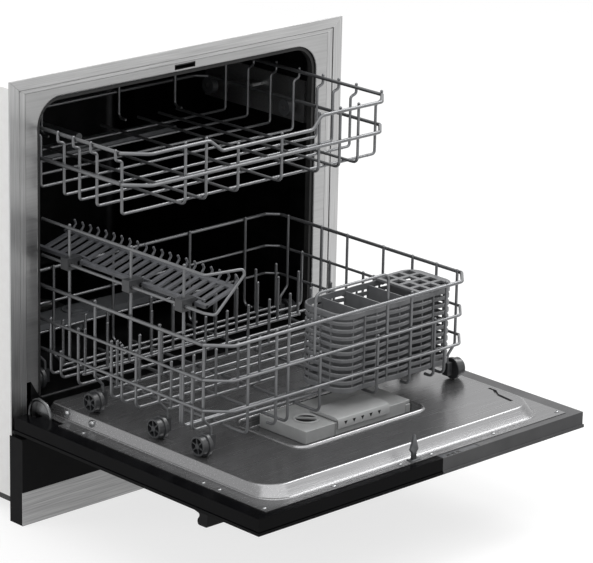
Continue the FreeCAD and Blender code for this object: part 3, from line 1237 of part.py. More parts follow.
# Cutlery basket: a slotted tub in five compartments with a hinged grid lid at its right
basket_sizes = {
    "basket_left": 0, "basket_right": 214, "basket_fore": -317, "basket_aft": -231, "basket_top": 305,
    "basket_wall": 2.5, "basket_corner": 22, "basket_floor": 3, "slot_high": 8, "slot_pitch": 18,
    "slot_rise": 12, "grid_left": 143, "grid_edge": 6, "grid_thick": 3, "grid_pitch": 20,
    "grid_slot": 14,
}
s.add(basket_sizes)
basket_low = s.low_floor + s.wire_radius + s.gap
basket_body = body_of("cutlery_basket")
basket_radius = s.basket_corner
pad(basket_body, "XY_Plane", (basket_low, s.basket_top), rounded,
    (s.basket_left, s.basket_right), (s.basket_fore, s.basket_aft), basket_radius)
cell_count = 5
cell_long = (s.basket_right - s.basket_left - s.basket_wall) / cell_count
cell_fore = s.basket_fore + s.basket_wall
cell_aft = s.basket_aft - s.basket_wall
for i in range(cell_count):
    cell_left = s.basket_left + s.basket_wall + cell_long * i
    cell_right = cell_left + cell_long - s.basket_wall
    cell_span = (basket_low + s.basket_floor, s.basket_top + s.overrun)
    if i in (0, cell_count - 1):
        pocket(basket_body, "XY_Plane", cell_span, rounded,
               (cell_left, cell_right), (cell_fore, cell_aft), s.basket_corner - s.basket_wall * 2)
    else:
        pocket(basket_body, "XY_Plane", cell_span, polygon, [
            (cell_left, cell_fore), (cell_right, cell_fore), (cell_right, cell_aft), (cell_left, cell_aft)])
slot_count = int((float(s.basket_top) - float(basket_low) - float(s.slot_rise) * 1.5) / float(s.slot_pitch))
for i in range(cell_count):
    cell_left = s.basket_left + s.basket_wall + cell_long * i
    cell_right = cell_left + cell_long - s.basket_wall
    inset = s.basket_corner if i in (0, cell_count - 1) else s.basket_wall
    near = cell_left + (inset if i == 0 else s.basket_wall)
    far = cell_right - (inset if i == cell_count - 1 else s.basket_wall)
    slot_low = basket_low + s.slot_rise
    slot = pocket(basket_body, "XZ_Plane", (s.basket_fore - s.overrun, s.basket_aft + s.overrun), polygon, [
        (near, slot_low), (far, slot_low), (far, slot_low + s.slot_high), (near, slot_low + s.slot_high)])
    repeat(basket_body, slot, "Z_Axis", slot_count, s.slot_pitch)
slot_low = basket_low + s.slot_rise
side_slot = pocket(basket_body, "YZ_Plane", (s.basket_left - s.overrun, s.basket_right + s.overrun),
    polygon, [
    (s.basket_fore + s.basket_corner + s.basket_wall, slot_low),
    (s.basket_aft - s.basket_corner - s.basket_wall, slot_low),
    (s.basket_aft - s.basket_corner - s.basket_wall, slot_low + s.slot_high),
    (s.basket_fore + s.basket_corner + s.basket_wall, slot_low + s.slot_high)])
repeat(basket_body, side_slot, "Z_Axis", slot_count, s.slot_pitch)

grid = body_of("basket_lid")
grid_low = s.basket_top + s.gap
grid_span = (grid_low, grid_low + s.grid_thick)
pad(grid, "XY_Plane", grid_span, rounded, (s.grid_left, s.basket_right), (s.basket_fore, s.basket_aft),
    s.basket_corner)
grid_square = s.basket_right - s.basket_corner
pad(grid, "XY_Plane", grid_span, polygon, [
    (s.grid_left, s.basket_fore), (grid_square, s.basket_fore), (grid_square, s.basket_aft),
    (s.grid_left, s.basket_aft)])
grid_across = float(s.basket_right) - float(s.grid_left) - float(s.grid_edge)
grid_along = float(s.basket_aft) - float(s.basket_fore) - float(s.grid_edge)
grid_count_across = int(grid_across / float(s.grid_pitch))
grid_count_along = int(grid_along / float(s.grid_pitch))
for i in range(grid_count_along):
    y = s.basket_fore + s.grid_edge + s.grid_pitch * i
    hole = pocket(grid, "XY_Plane", (grid_low - s.overrun, grid_low + s.grid_thick + s.overrun), polygon, [
        (s.grid_left + s.grid_edge, y), (s.grid_left + s.grid_edge + s.grid_slot, y),
        (s.grid_left + s.grid_edge + s.grid_slot, y + s.grid_slot), (s.grid_left + s.grid_edge,
            y + s.grid_slot)])
    repeat(grid, hole, "X_Axis", grid_count_across, s.grid_pitch)

# Upper rack: the same make, with a dip in its front rail and side wires that step in below the top rail
upper_rack_sizes = {
    "up_front": -172, "up_back": 218, "up_top_rail": 530, "up_floor": 447, "up_dip": 513,
    "step_low": 506, "up_top_half": 234, "up_post_half": 227.4, "step_high": 514, "dip_left": -106,
    "dip_right": 94, "dip_left_low": -84, "dip_right_low": 79, "up_toe": 14,
}
s.add(upper_rack_sizes)
up_long = s.up_back - s.up_front
up_joint_front = s.up_front + s.rack_corner + s.butt
up_joint_back = s.up_back - s.heel_corner - s.butt
up_post_shares = (0.082, 0.208, 0.297, 0.377, 0.5, 0.62, 0.74, 0.86)
up_front_shares = (-0.615, -0.4615, -0.222, 0.111, 0.402, 0.568, 0.714)
up_toe_half = s.up_post_half - s.up_toe
top_post = s.up_top_half - rail_reach
sides = []
for side in (-1, 1):
    pieces = [
        wire([(across * side, up_joint_front + hair, height), (across * side, up_joint_back - hair,
            height)],
             s.rail_radius)
        for across, height in ((s.up_top_half, s.up_top_rail), (s.runner_across, s.runner_high))]
    for share in up_post_shares:
        y = s.up_front + up_long * share
        pieces.append(wire([
            (top_post * side, y, s.up_top_rail + s.knob), (top_post * side, y, s.step_high),
            (s.up_post_half * side, y, s.step_low), (s.up_post_half * side, y, s.up_floor),
            (up_toe_half * side, y, s.up_floor)],
            s.wire_radius))
    sides += pieces[0].multiFuse(pieces[1:]).removeSplitter().Solids
up_sides = doc.addObject("Part::Feature", "upper_rack_sides")
up_sides.Shape = Part.Compound(sides)
node("upper_rack_sides", up_sides)

up_out = s.up_front + rail_reach
up_in = s.up_back - rail_reach
up_long_floor = s.up_floor + s.wire_radius * 2 - s.weld
top_ring = ring_path(s.up_top_half, s.up_front, s.up_top_rail, up_joint_front)
top_ring[3:3] = [
    (s.dip_left, s.up_front, s.up_top_rail), (s.dip_left_low, s.up_front, s.up_dip),
    (s.dip_right_low, s.up_front, s.up_dip), (s.dip_right, s.up_front, s.up_top_rail)]
pieces = [wire(top_ring, s.rail_radius),
    wire(ring_path(s.runner_across, s.up_front, s.runner_high, up_joint_front), s.rail_radius)]
for share in up_front_shares:
    x = s.up_top_half * share
    dipped = float(s.dip_left_low) < float(x) < float(s.dip_right_low)
    top = s.up_dip if dipped else s.up_top_rail
    pieces.append(wire(end_post(x, up_out, 1, top + s.knob, up_long_floor, s.up_toe), s.wire_radius))
front_end = pieces[0].multiFuse(pieces[1:]).removeSplitter()
pieces = [wire(ring_back(s.up_top_half, s.up_back, s.up_top_rail, up_joint_back), s.rail_radius),
          wire(ring_back(s.runner_across, s.up_back, s.runner_high, up_joint_back), s.rail_radius)]
for share in back_post_shares:
    x = s.up_top_half * share
    pieces.append(wire(end_post(x, up_in, -1, s.up_top_rail + s.knob, up_long_floor, s.up_toe),
        s.wire_radius))
back_end = pieces[0].multiFuse(pieces[1:]).removeSplitter()
up_ends = doc.addObject("Part::Feature", "upper_rack_ends")
up_ends.Shape = Part.Compound(front_end.Solids + back_end.Solids)
node("upper_rack_ends", up_ends)

up_floor_half = up_toe_half - s.gap
pieces = []
for share in up_post_shares:
    y = s.up_front + up_long * share
    pieces.append(wire([(-up_floor_half, y, s.up_floor), (up_floor_half, y, s.up_floor)], s.wire_radius))
for share in up_front_shares:
    x = s.up_top_half * share
    pieces.append(wire([(x, up_out + s.up_toe + s.gap, up_long_floor), (x, up_in - s.up_toe - s.gap,
        up_long_floor)],
                       s.wire_radius))
welded("upper_rack_floor", pieces)

# Recompute, check and write one file per node
doc.recompute()
for item in doc.Objects:
    for word in ("Invalid", "Error"):
        if word in item.State:
            raise RuntimeError(item.Name + " " + item.Label + " is in state " + word)
os.makedirs("parts", exist_ok=True)
faulty = [label for label, item in nodes.items() if item.Shape.isNull() or not item.Shape.isValid()]
if faulty:
    raise RuntimeError("no valid shape: " + ", ".join(faulty))
for label, item in nodes.items():
    item.Shape.exportStep("parts/" + label + ".step")
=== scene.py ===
"""A built-in dishwasher that stands open, its door level and both wire racks drawn out.

It is made in the order in which the machine is put together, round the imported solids.
Sizes are millimetres, except in the last section, where floor, lamps and camera are in metres.
"""

import math

import bmesh
import bpy
from mathutils import Matrix, Vector


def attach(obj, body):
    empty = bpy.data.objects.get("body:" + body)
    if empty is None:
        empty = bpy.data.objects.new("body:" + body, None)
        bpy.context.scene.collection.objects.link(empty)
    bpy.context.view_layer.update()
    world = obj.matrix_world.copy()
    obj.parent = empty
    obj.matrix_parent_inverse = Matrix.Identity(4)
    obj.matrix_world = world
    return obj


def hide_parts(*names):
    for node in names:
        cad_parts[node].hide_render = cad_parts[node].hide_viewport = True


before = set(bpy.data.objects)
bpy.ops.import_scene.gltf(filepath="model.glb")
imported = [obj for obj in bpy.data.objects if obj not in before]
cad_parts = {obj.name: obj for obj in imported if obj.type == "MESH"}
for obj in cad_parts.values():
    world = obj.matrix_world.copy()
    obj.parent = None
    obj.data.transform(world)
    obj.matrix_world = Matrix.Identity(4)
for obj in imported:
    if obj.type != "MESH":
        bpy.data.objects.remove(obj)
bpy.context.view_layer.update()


# Front frame
# The rim round the opening is stainless sheet, brushed along each side and mitred at the corners.
# A dark seam parts its outer band from a second one, which steps back to the tub's flange.
MM = 0.001
MERGE = 0.00001


def colour(code):
    """The linear colour of an sRGB hex value."""
    shares = [int(code[i:i + 2], 16) / 255 for i in (1, 3, 5)]
    return (*[c / 12.92 if c <= 0.04045 else ((c + 0.055) / 1.055) ** 2.4 for c in shares], 1)


def add(tree, kind, inputs=(), **settings):
    """Adds a node to a tree with its settings, and values or links at its inputs."""
    node = tree.nodes.new(kind)
    for name, value in settings.items():
        setattr(node, name, value)
    for key, value in dict(inputs).items():
        if isinstance(value, bpy.types.NodeSocket):
            tree.links.new(value, node.inputs[key])
        else:
            node.inputs[key].default_value = value
    return node


def surface(name, **sockets):
    """A new material with its shader's own sockets set. Gives the material, its tree and shader."""
    made = bpy.data.materials.new(name)
    made.use_nodes = True
    shader = made.node_tree.nodes["Principled BSDF"]
    for key, value in sockets.items():
        shader.inputs[key.replace("_", " ")].default_value = value
    return made, made.node_tree, shader


def grain(tree, spacing, run=1.0, along=None, detail=2.0):
    """Noise with marks of one spacing in mm, drawn out along an axis where one is given."""
    scale = [1 / (spacing * MM)] * 3
    if along is not None:
        scale["XYZ".index(along)] /= run
    where = add(tree, "ShaderNodeTexCoord").outputs["Object"]
    laid = add(tree, "ShaderNodeMapping", {"Vector": where, "Scale": scale}).outputs["Vector"]
    return add(tree, "ShaderNodeTexNoise", {"Vector": laid, "Scale": 1.0, "Detail": detail}).outputs["Fac"]


def spread(tree, fac, low, high):
    """A value that runs between two limits with a noise."""
    return add(tree, "ShaderNodeMapRange", {"Value": fac, "From Min": 0.25, "From Max": 0.75,
                                            "To Min": low, "To Max": high}).outputs["Result"]


def tint(tree, fac, low, high):
    """A colour that runs between two hex values with a noise."""
    share = spread(tree, fac, 0, 1)
    return add(tree, "ShaderNodeMix", {"Factor": share, 6: colour(low), 7: colour(high)},
               data_type="RGBA").outputs[2]


def relief(tree, shader, fac, depth):
    """A bump of one depth in mm, from a noise."""
    bump = add(tree, "ShaderNodeBump", {"Height": fac, "Strength": 1.0, "Distance": depth * MM})
    tree.links.new(bump.outputs["Normal"], shader.inputs["Normal"])


def brushed_steel(name, along, dark, light, rough, spacing, depth):
    """Stainless sheet brushed with an abrasive belt: fine long lines that spread a highlight across them.
    The belt's lines are 0.1 mm apart, and are drawn wider so that they show."""
    made, tree, shader = surface(name, Metallic=1.0)
    lines = grain(tree, spacing, run=70, along=along)
    tree.links.new(tint(tree, lines, dark, light), shader.inputs["Base Color"])
    tree.links.new(spread(tree, lines, *rough), shader.inputs["Roughness"])
    relief(tree, shader, lines, depth)
    return made


def across_axis(axis, a, b, level):
    """The point (a, b) in the plane across an axis, at a level along it."""
    return {"X": (level, a, b), "Y": (a, level, b), "Z": (a, b, level)}[axis]


def prism(outline, low, high, axis):
    """Corners and faces of a straight prism: its outline in the two other axes, and its span along axis."""
    count = len(outline)
    corners = [across_axis(axis, a, b, level) for level in (low, high) for a, b in outline]
    faces = [tuple(range(count)), tuple(range(2 * count - 1, count - 1, -1))]
    faces += [(i, i + count, (i + 1) % count + count, (i + 1) % count) for i in range(count)]
    return corners, faces


def block(x, y, z):
    """A box from its three spans."""
    return prism([(x[0], y[0]), (x[1], y[0]), (x[1], y[1]), (x[0], y[1])], z[0], z[1], "Z")


def together(*parts):
    """Several lots of corners and faces as one."""
    corners, faces = [], []
    for more, sides in parts:
        start = len(corners)
        corners += more
        faces += [tuple(start + i for i in side) for side in sides]
    return corners, faces


def plain_mesh(name, shape):
    """A mesh from corners in mm and faces, with its doubles merged and its faces turned outwards."""
    mesh = bpy.data.meshes.new(name)
    mesh.from_pydata([Vector(c) * MM for c in shape[0]], [], shape[1])
    work = bmesh.new()
    work.from_mesh(mesh)
    bmesh.ops.remove_doubles(work, verts=work.verts, dist=MERGE)
    bmesh.ops.recalc_face_normals(work, faces=work.faces)
    work.to_mesh(mesh)
    work.free()
    return mesh


def hand_over(made, body, nodes):
    """Gives a piece to its body, in place of the solids that it is made for."""
    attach(made, body)
    if nodes:
        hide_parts(*([nodes] if isinstance(nodes, str) else nodes))


def piece(name, shape, body, finishes, nodes=(), edge=0.0, steps=2, sharp=35, finish_of=None):
    """Makes a piece from corners in mm and faces, rounds its edges, and hands it to its body."""
    mesh = plain_mesh(name, shape)
    made = bpy.data.objects.new(name, mesh)
    bpy.context.scene.collection.objects.link(made)
    for finish in finishes if isinstance(finishes, (list, tuple)) else [finishes]:
        mesh.materials.append(finish)
    if finish_of:
        for face in mesh.polygons:
            face.material_index = finish_of(face.center / MM, face.normal)
    mesh.shade_smooth()
    mesh.set_sharp_from_angle(angle=math.radians(sharp))
    if edge:
        rounding = made.modifiers.new("edge", "BEVEL")
        rounding.width, rounding.segments, rounding.limit_method = edge * MM, steps, "ANGLE"
        rounding.angle_limit, rounding.harden_normals = math.radians(sharp), True
    hand_over(made, body, nodes)
    return made


steel_up = brushed_steel("stainless_brushed_upright", "Z", "#a2a2a2", "#c4c4c4", (0.3, 0.42), 1.3, 0.005)
steel_across = brushed_steel("stainless_brushed_across", "X", "#a2a2a2", "#c4c4c4", (0.3, 0.42), 1.3, 0.005)
half, foot, top, rim, rim_high, band, deep = 297.5, 122.0, 604.0, 16.5, 14.0, 10.5, 14.0
sheet, seam, step, band_high, lowest = 2.2, 1.1, 0.8, 6.0, 140.0
lap, tie_thick, frame_edge = 4.0, 1.5, 0.35
inner, inner_top = half - rim, top - rim_high
hole, hole_top = inner - band, inner_top - band_high
rim_parts = []
for side in (-1, 1):
    rim_outline = [(half * side, foot), (half * side, top), (inner * side, inner_top), (inner * side, foot)]
    band_outline = [((inner - seam) * side, lowest), ((inner - seam) * side, inner_top - seam),
                    (hole * side, hole_top), (hole * side, lowest)]
    tie = sorted(((inner - lap) * side, (inner + lap) * side))
    rim_parts += [prism(rim_outline, 0.0, sheet, "Y"), prism(band_outline, step, deep, "Y"),
                  block(tie, (sheet, sheet + tie_thick), (foot, inner_top))]
piece("front_frame_sides", together(*rim_parts), "cabinet", steel_up, "front_frame", edge=frame_edge)
over = [(-half, top), (half, top), (inner, inner_top), (-inner, inner_top)]
under = [(seam - inner, inner_top - seam), (inner - seam, inner_top - seam),
         (hole, hole_top), (-hole, hole_top)]
sill = [(-inner, foot), (inner, foot), (inner, lowest), (-inner, lowest)]
tie = block((-inner, inner), (sheet, sheet + tie_thick), (inner_top - lap, inner_top + lap))
piece("front_frame_top", together(prism(over, 0.0, sheet, "Y"), prism(under, step, deep, "Y"),
                                  prism(sill, 0.0, deep, "Y"), tie),
      "cabinet", steel_across, edge=frame_edge)


# Tub
# The wash tub's walls are pressed from stainless sheet and left satin. Their colour is near-black,
# a painted shade for the dark inside of the tub. Their flange turns out round the opening through a
# small radius, and four shallow beads run round them to stiffen them.
def rounded(x0, x1, y0, y1, radii, steps):
    """A rounded outline as points, from its low left corner round by the right."""
    radii = [radii] * 4 if isinstance(radii, (int, float)) else radii
    corners = ((x0, y0, 1, 1, 180), (x1, y0, -1, 1, 270), (x1, y1, -1, -1, 0), (x0, y1, 1, -1, 90))
    points = []
    for (x, y, right, up, start), radius in zip(corners, radii):
        for i in range(steps + 1):
            turn = math.radians(start + 90 * i / steps)
            points.append((x + radius * (right + math.cos(turn)), y + radius * (up + math.sin(turn))))
    return points


def skin(rings, close=True, cap_first=False, cap_last=False):
    """Faces between rings of points that have equal counts."""
    corners = [p for ring in rings for p in ring]
    n = len(rings[0])
    faces = []
    for k in range(len(rings) - 1):
        for i in range(n if close else n - 1):
            j = (i + 1) % n
            faces.append((k * n + i, k * n + j, (k + 1) * n + j, (k + 1) * n + i))
    if cap_first:
        faces.append(tuple(range(n))[::-1])
    if cap_last:
        faces.append(tuple(range((len(rings) - 1) * n, len(rings) * n)))
    return corners, faces


SHEET_BEND = 50


def sheet_with_holes(outlines, level, axis):
    """A flat sheet inside the first outline and outside the others."""
    work = bmesh.new()
    for outline in outlines:
        ring = [work.verts.new(across_axis(axis, a, b, level)) for a, b in outline]
        for i in range(len(ring)):
            work.edges.new((ring[i - 1], ring[i]))
    bmesh.ops.triangle_fill(work, use_beauty=True, edges=work.edges)
    work.verts.index_update()
    shape = [tuple(v.co) for v in work.verts], [tuple(v.index for v in f.verts) for f in work.faces]
    work.free()
    return shape


def thicken(made, thick):
    """Gives a sheet its wall, grown behind its face, and keeps the shading crisp at its bends."""
    behind = made.modifiers.new("wall", "SOLIDIFY")
    behind.thickness, behind.offset = thick * MM, -1.0
    made.modifiers.new("crisp", "EDGE_SPLIT").split_angle = math.radians(SHEET_BEND)


# Near-black stainless: painted shade for the inside of the tub, on the walls, the floor and the flange's
# lowest strip.
tub_steel_painted_shade, tree, shader = surface("tub_stainless_painted_shade", Metallic=1.0)
cloud = grain(tree, 55, detail=3.0)
tree.links.new(tint(tree, cloud, "#262627", "#39393a"), shader.inputs["Base Color"])
tree.links.new(spread(tree, grain(tree, 9, run=12, along="Y"), 0.3, 0.46), shader.inputs["Roughness"])
flange_steel = brushed_steel("tub_flange_stainless", "X", "#a2a2a2", "#aeaeae", (0.28, 0.36), 3.0, 0.001)

wall, floor, ceiling, back = 250.0, 164.3, 572.0, 440.0
low_bend, bend, least_bend, rear_bend, bend_steps = 8.0, 38.0, 2.0, 14.0, 10
corner_radii = [low_bend, low_bend, bend, bend]
slot = [(-14.0, 574.8), (23.0, 574.8), (23.0, 582.0), (-14.0, 582.0)]
lip, flange_face, tub_thick, painted_shade_top = 2.2, 2.0, 1.0, 172.0
wide, narrow, flange_foot, notch_top, flange_top = 270.2, 263.5, 140.3, 190.0, 583.7


def tub_outline(grow, radii):
    """The tub's section, grown or shrunk by a distance."""
    return rounded(-wall - grow, wall + grow, floor - grow, ceiling + grow, radii, bend_steps)


mouth = tub_outline(lip, [r + lip for r in corner_radii])
outer = [(-narrow, flange_foot), (narrow, flange_foot), (narrow, notch_top), (wide, notch_top),
         (wide, flange_top), (-wide, flange_top), (-wide, notch_top), (-narrow, notch_top)]
flange = sheet_with_holes([outer, mouth, slot], flange_face, "Y")


def tub_ring(grow, y):
    """The same section at one depth, with no corner sharper than the least bend."""
    return [(a, y, b) for a, b in tub_outline(grow, [max(r + grow, least_bend) for r in corner_radii])]


turn_in = [tub_ring(lip * (1 - math.sin(math.radians(t))),
                    flange_face + lip * (1 - math.cos(math.radians(t)))) for t in (0, 22.5, 45, 67.5, 90)]
bead_rings, bead_deep, bead_foot, bead_flat = [], 0.9, 9, 5
for y in (70, 180, 290, 390):
    bead_rings += [tub_ring(0.0, y - bead_foot), tub_ring(bead_deep, y - bead_flat),
                   tub_ring(bead_deep, y + bead_flat), tub_ring(0.0, y + bead_foot)]
rear_rings = [tub_ring(-rear_bend * (1 - math.cos(math.radians(t))),
                       back - rear_bend * (1 - math.sin(math.radians(t)))) for t in (0, 30, 60, 90)]
low_left = bend_steps + 1
open_rings = [ring[low_left:] + ring[:low_left] for ring in turn_in[-1:] + bead_rings + rear_rings[:1]]
tub_wall = together(skin(turn_in), skin(open_rings, close=False), skin(rear_rings, cap_last=True))
flange_back = flange_face + tub_thick
# The flange is bright steel above 172 mm. Its strip below that, and the walls, take the near-black painted
# shade.
tub = piece("tub_liner", together(flange, tub_wall), "cabinet", [flange_steel, tub_steel_painted_shade], "tub",
            sharp=SHEET_BEND,
            finish_of=lambda at, normal: 0 if at.y < flange_back and at.z > painted_shade_top else 1)
thicken(tub, tub_thick)


# Tub floor
# The floor is a pressing of its own, welded in between the walls. It falls by a step to the basin
# round the filter, and has the same satin finish and near-black painted shade as the walls.
def dress(node, finish):
    """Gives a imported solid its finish."""
    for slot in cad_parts[node].material_slots:
        slot.material = finish


dress("tub_floor", tub_steel_painted_shade)


# Door seal
# A hollow EPDM rubber profile is pressed over the opening's edge, down both sides and across the top.
# It is black and matt, a little greyer where the door has pressed it.
def moulded(name, low, high, rough, spacing=0.9, depth=0.02, **sockets):
    """Injection-moulded plastic or rubber: nearly one colour, with the fine even grain of an eroded mould."""
    made, tree, shader = surface(name, **sockets)
    tree.links.new(tint(tree, grain(tree, 14, detail=3.0), low, high), shader.inputs["Base Color"])
    fine = grain(tree, spacing, detail=1.0)
    tree.links.new(spread(tree, fine, *rough), shader.inputs["Roughness"])
    relief(tree, shader, fine, depth)
    return made


seal_rubber = moulded("seal_rubber_extruded", "#151515", "#232323", rough=(0.6, 0.78), depth=0.03)
dress("tub_seal", seal_rubber)


# Outer casing and rear panel
# The casing wraps the tub on three sides and the rear panel closes it. Both are folded steel sheet
# with a white polyester powder coat, which dries with a faint orange-peel skin.
powder_white = moulded("powder_coat_white", "#ecebea", "#f1f1f0", rough=(0.5, 0.62), spacing=1.8, depth=0.01)
for node in ("outer_casing", "rear_panel"):
    dress(node, powder_white)


# Base pan and feet
# The pan under the machine is one polypropylene moulding. It stands on four screw feet with
# ribbed discs, which level the machine in its niche.
black_moulding = moulded("polypropylene_black", "#1b1b1c", "#29292a", rough=(0.45, 0.6), spacing=1.1)
grey_moulding = moulded("polypropylene_grey", "#4d4e50", "#5c5d5f", rough=(0.4, 0.55))
dress("base_pan", black_moulding)
dress("levelling_feet", grey_moulding)


# Base front and kick plate
# The panel below the opening is folded steel with a black powder coat. The low plate in front of
# it is stainless sheet brushed from end to end.
powder_black = moulded("powder_coat_black", "#0a0a0b", "#101011", rough=(0.34, 0.46), spacing=0.7,
                       depth=0.012, Specular_IOR_Level=0.06)
kick_steel = brushed_steel("kick_plate_stainless", "X", "#868686", "#b0b0b0", (0.3, 0.44), 1.2, 0.006)
dress("base_front_panel", powder_black)
dress("kick_plate", kick_steel)


# Door hinges
# The brackets are zinc-plated steel. The balance springs are oiled spring wire, run back under the
# tub and hold the open door level. Round chrome-plated covers lie over the arms' ends.
def plated(name, low, high, rough=(0.3, 0.46)):
    """Bright zinc plate over rolled steel: cool grey, with faint clouds from the plating bath."""
    made, tree, shader = surface(name, Metallic=1.0)
    cloud = grain(tree, 11, detail=4.0)
    tree.links.new(tint(tree, cloud, low, high), shader.inputs["Base Color"])
    tree.links.new(spread(tree, cloud, *rough), shader.inputs["Roughness"])
    relief(tree, shader, grain(tree, 1.5), 0.01)
    return made


def turned(profile, centre, side, steps=48):
    """A closed ring from a profile of (radius, distance along X), turned about an axle."""
    x0, y0, z0 = centre
    rings = []
    for radius, reach_out in profile:
        rings.append([(x0 + side * reach_out, y0 + radius * math.cos(math.tau * i / steps),
                       z0 + radius * math.sin(math.tau * i / steps)) for i in range(steps)])
    return skin(rings + rings[:1])


zinc_plate = plated("zinc_plated_steel", "#84888b", "#b1b5b8")
spring_wire = plated("spring_steel_oiled", "#4a4b4d", "#77797b", rough=(0.28, 0.4))
cover_steel = plated("chrome_plated_cover", "#58595a", "#767778", rough=(0.18, 0.28))
dress("hinge_brackets", zinc_plate)
dress("door_springs", spring_wire)
cover_along, cover_high, cover_in, cover_radius, arm_thick = -21.0, 149.0, 264.4, 24.6, 3.0
arm_outline = [(-64.0, 132.0), (-12.0, 132.0), (-12.0, 147.0), (-64.0, 147.0)]
shell = [(0.0, 0.0), (cover_radius - 0.4, 0.0), (cover_radius, 0.6), (cover_radius, 2.2),
         (cover_radius - 0.8, 3.4), (cover_radius - 2.4, 4.0), (cover_radius - 4.0, 3.4),
         (cover_radius - 5.0, 2.6), (cover_radius - 12.0, 4.2), (cover_radius - 20.0, 4.9), (0.0, 5.0)]
arms = []
for side in (-1, 1):
    arms.append(turned(shell, (cover_in * side, cover_along, cover_high), side, 64))
    arms.append(prism(arm_outline, *sorted((cover_in * side, (cover_in + arm_thick) * side)), "X"))
piece("hinge_covers", together(*arms), "door", cover_steel, "hinge_arms", sharp=40)


# Pump parts below the tub
# The sump is black polypropylene, and the softener tank and the inlet valve are of the natural
# kind. The drain spigot and the salt cap are grey, and the pumps' cans are plated steel.
softener_white = moulded("polypropylene_natural", "#b9b8b2", "#cfcec8", rough=(0.36, 0.5))
dress("sump", black_moulding)
dress("water_softener", softener_white)
dress("salt_cap", grey_moulding)
dress("inlet_valve", softener_white)
dress("drain_outlet", grey_moulding)
dress("circulation_pump", zinc_plate)
dress("drain_pump", zinc_plate)


# Spray arms, feed pipes and filter
# The pipes and both arms are grey polypropylene, welded from two shells. The filter in the basin
# is a drawn stainless cup with fine punched holes.
arm_grey = moulded("polypropylene_spray_arm", "#6a6c6f", "#7c7e81", rough=(0.32, 0.46))
for node in ("spray_feed_pipes", "lower_spray_arm", "upper_spray_arm"):
    dress(node, arm_grey)
dress("filter_basket", steel_across)


# Upper rack guides
# Spot-welded stainless brackets carry two acetal rollers on each side, and a finger over the runner
# keeps the drawn rack from tipping.
roller_acetal = moulded("acetal_grey", "#3b3c3e", "#4a4b4d", rough=(0.3, 0.42))
dress("roller_brackets", steel_across)
for place in ("front_left", "front_right", "rear_left", "rear_right"):
    dress("guide_roller_" + place, roller_acetal)


# Latch
# The latch housing is black acetal, fixed behind the slot in the top of the frame. Its striker, a
# dark grey die-cast hook, stands up from the middle of the door.
latch_dark = moulded("acetal_black", "#121212", "#1c1c1c", rough=(0.34, 0.46))
striker_grey = plated("zinc_die_cast_dark", "#47484a", "#6c6d6f", rough=(0.3, 0.42))
dress("latch_housing", latch_dark)
across, along, low, hook_half = -6.5, -458.8, 150.3, 2.2
spear = [(across - 3.4, low), (across + 3.4, low), (across + 3.4, low + 9), (across + 7.0, low + 14),
         (across + 4.0, low + 23), (across + 0.8, low + 34.0), (across - 0.8, low + 34.0),
         (across - 4.0, low + 23), (across - 7.0, low + 14), (across - 3.4, low + 9)]
socket = block((across - 9, across + 9), (along - 5, along + 4), (low - 0.6, low + 1.2))
piece("striker_hook", together(prism(spear, along - hook_half, along + hook_half, "Y"), socket), "door",
      striker_grey, "latch_striker", edge=1.1)


# Door shell
# The front is one sheet of black toughened glass, bonded to a core of black gloss ABS. On the door's
# edges right of 27 mm, glass and core carry a grey painted reflection. The grip is a rounded hook of
# black matt ABS.
def gloss(name, low, high, rough, **sockets):
    """A polished surface: even in colour, with a faint waviness in what it mirrors."""
    made, tree, shader = surface(name, **sockets)
    tree.links.new(tint(tree, grain(tree, 60), low, high), shader.inputs["Base Color"])
    tree.links.new(spread(tree, grain(tree, 7, detail=3.0), *rough), shader.inputs["Roughness"])
    relief(tree, shader, grain(tree, 40, detail=1.0), 0.02)
    return made


glass_black = gloss("toughened_glass_black", "#040405", "#070708", (0.05, 0.1), IOR=1.52,
                    Specular_IOR_Level=0.05)
core_black = gloss("abs_black_gloss_painted_reflection", "#050506", "#08080a", (0.16, 0.24), IOR=1.53,
                   Specular_IOR_Level=0.04)
handle_black = moulded("abs_black_matt", "#080809", "#0e0e0f", rough=(0.4, 0.55), Specular_IOR_Level=0.1)
# The grey painted reflection on the door's edges starts 27 mm right of the middle; the glass face is not
# painted.
reflection_from, glass_face = 27.0, 127.8


def paint_edge_reflection(finish):
    """Paints a grey reflection into a door finish on the edges right of 27 mm, but not on the door's face."""
    tree, shader = finish.node_tree, finish.node_tree.nodes["Principled BSDF"]
    where = add(tree, "ShaderNodeTexCoord").outputs["Object"]
    place = add(tree, "ShaderNodeSeparateXYZ", {"Vector": where}).outputs
    beyond, behind = [
        add(tree, "ShaderNodeMath", {0: place[axis], 1: limit * MM}, operation="GREATER_THAN").outputs[0]
        for axis, limit in (("X", reflection_from), ("Z", glass_face))]
    there = add(tree, "ShaderNodeMath", {0: beyond, 1: behind}, operation="MULTIPLY").outputs[0]
    black = shader.inputs["Base Color"].links[0].from_socket
    grey = tint(tree, grain(tree, 45), "#5a5a5b", "#666667")
    both = add(tree, "ShaderNodeMix", {"Factor": there, 6: black, 7: grey}, data_type="RGBA").outputs[2]
    tree.links.new(both, shader.inputs["Base Color"])


# Both door finishes carry the grey painted reflection on their edges.
paint_edge_reflection(core_black)
paint_edge_reflection(glass_black)
dress("door_front_glass", glass_black)
dress("door_core", core_black)
grip = [(-388.0, 127.5), (-388.0, 112.2), (-386.3, 110.3), (-384.0, 109.8), (-371.8, 109.6), (-369.6, 110.8),
        (-368.3, 114.2), (-369.2, 117.8), (-371.4, 120.6), (-372.2, 123.2), (-370.8, 125.4), (-366.0, 126.5),
        (-362.3, 127.5)]
door_half = 297.5
piece("door_grip", prism(grip, -door_half, door_half, "X"), "door", handle_black, "door_handle", edge=0.5)
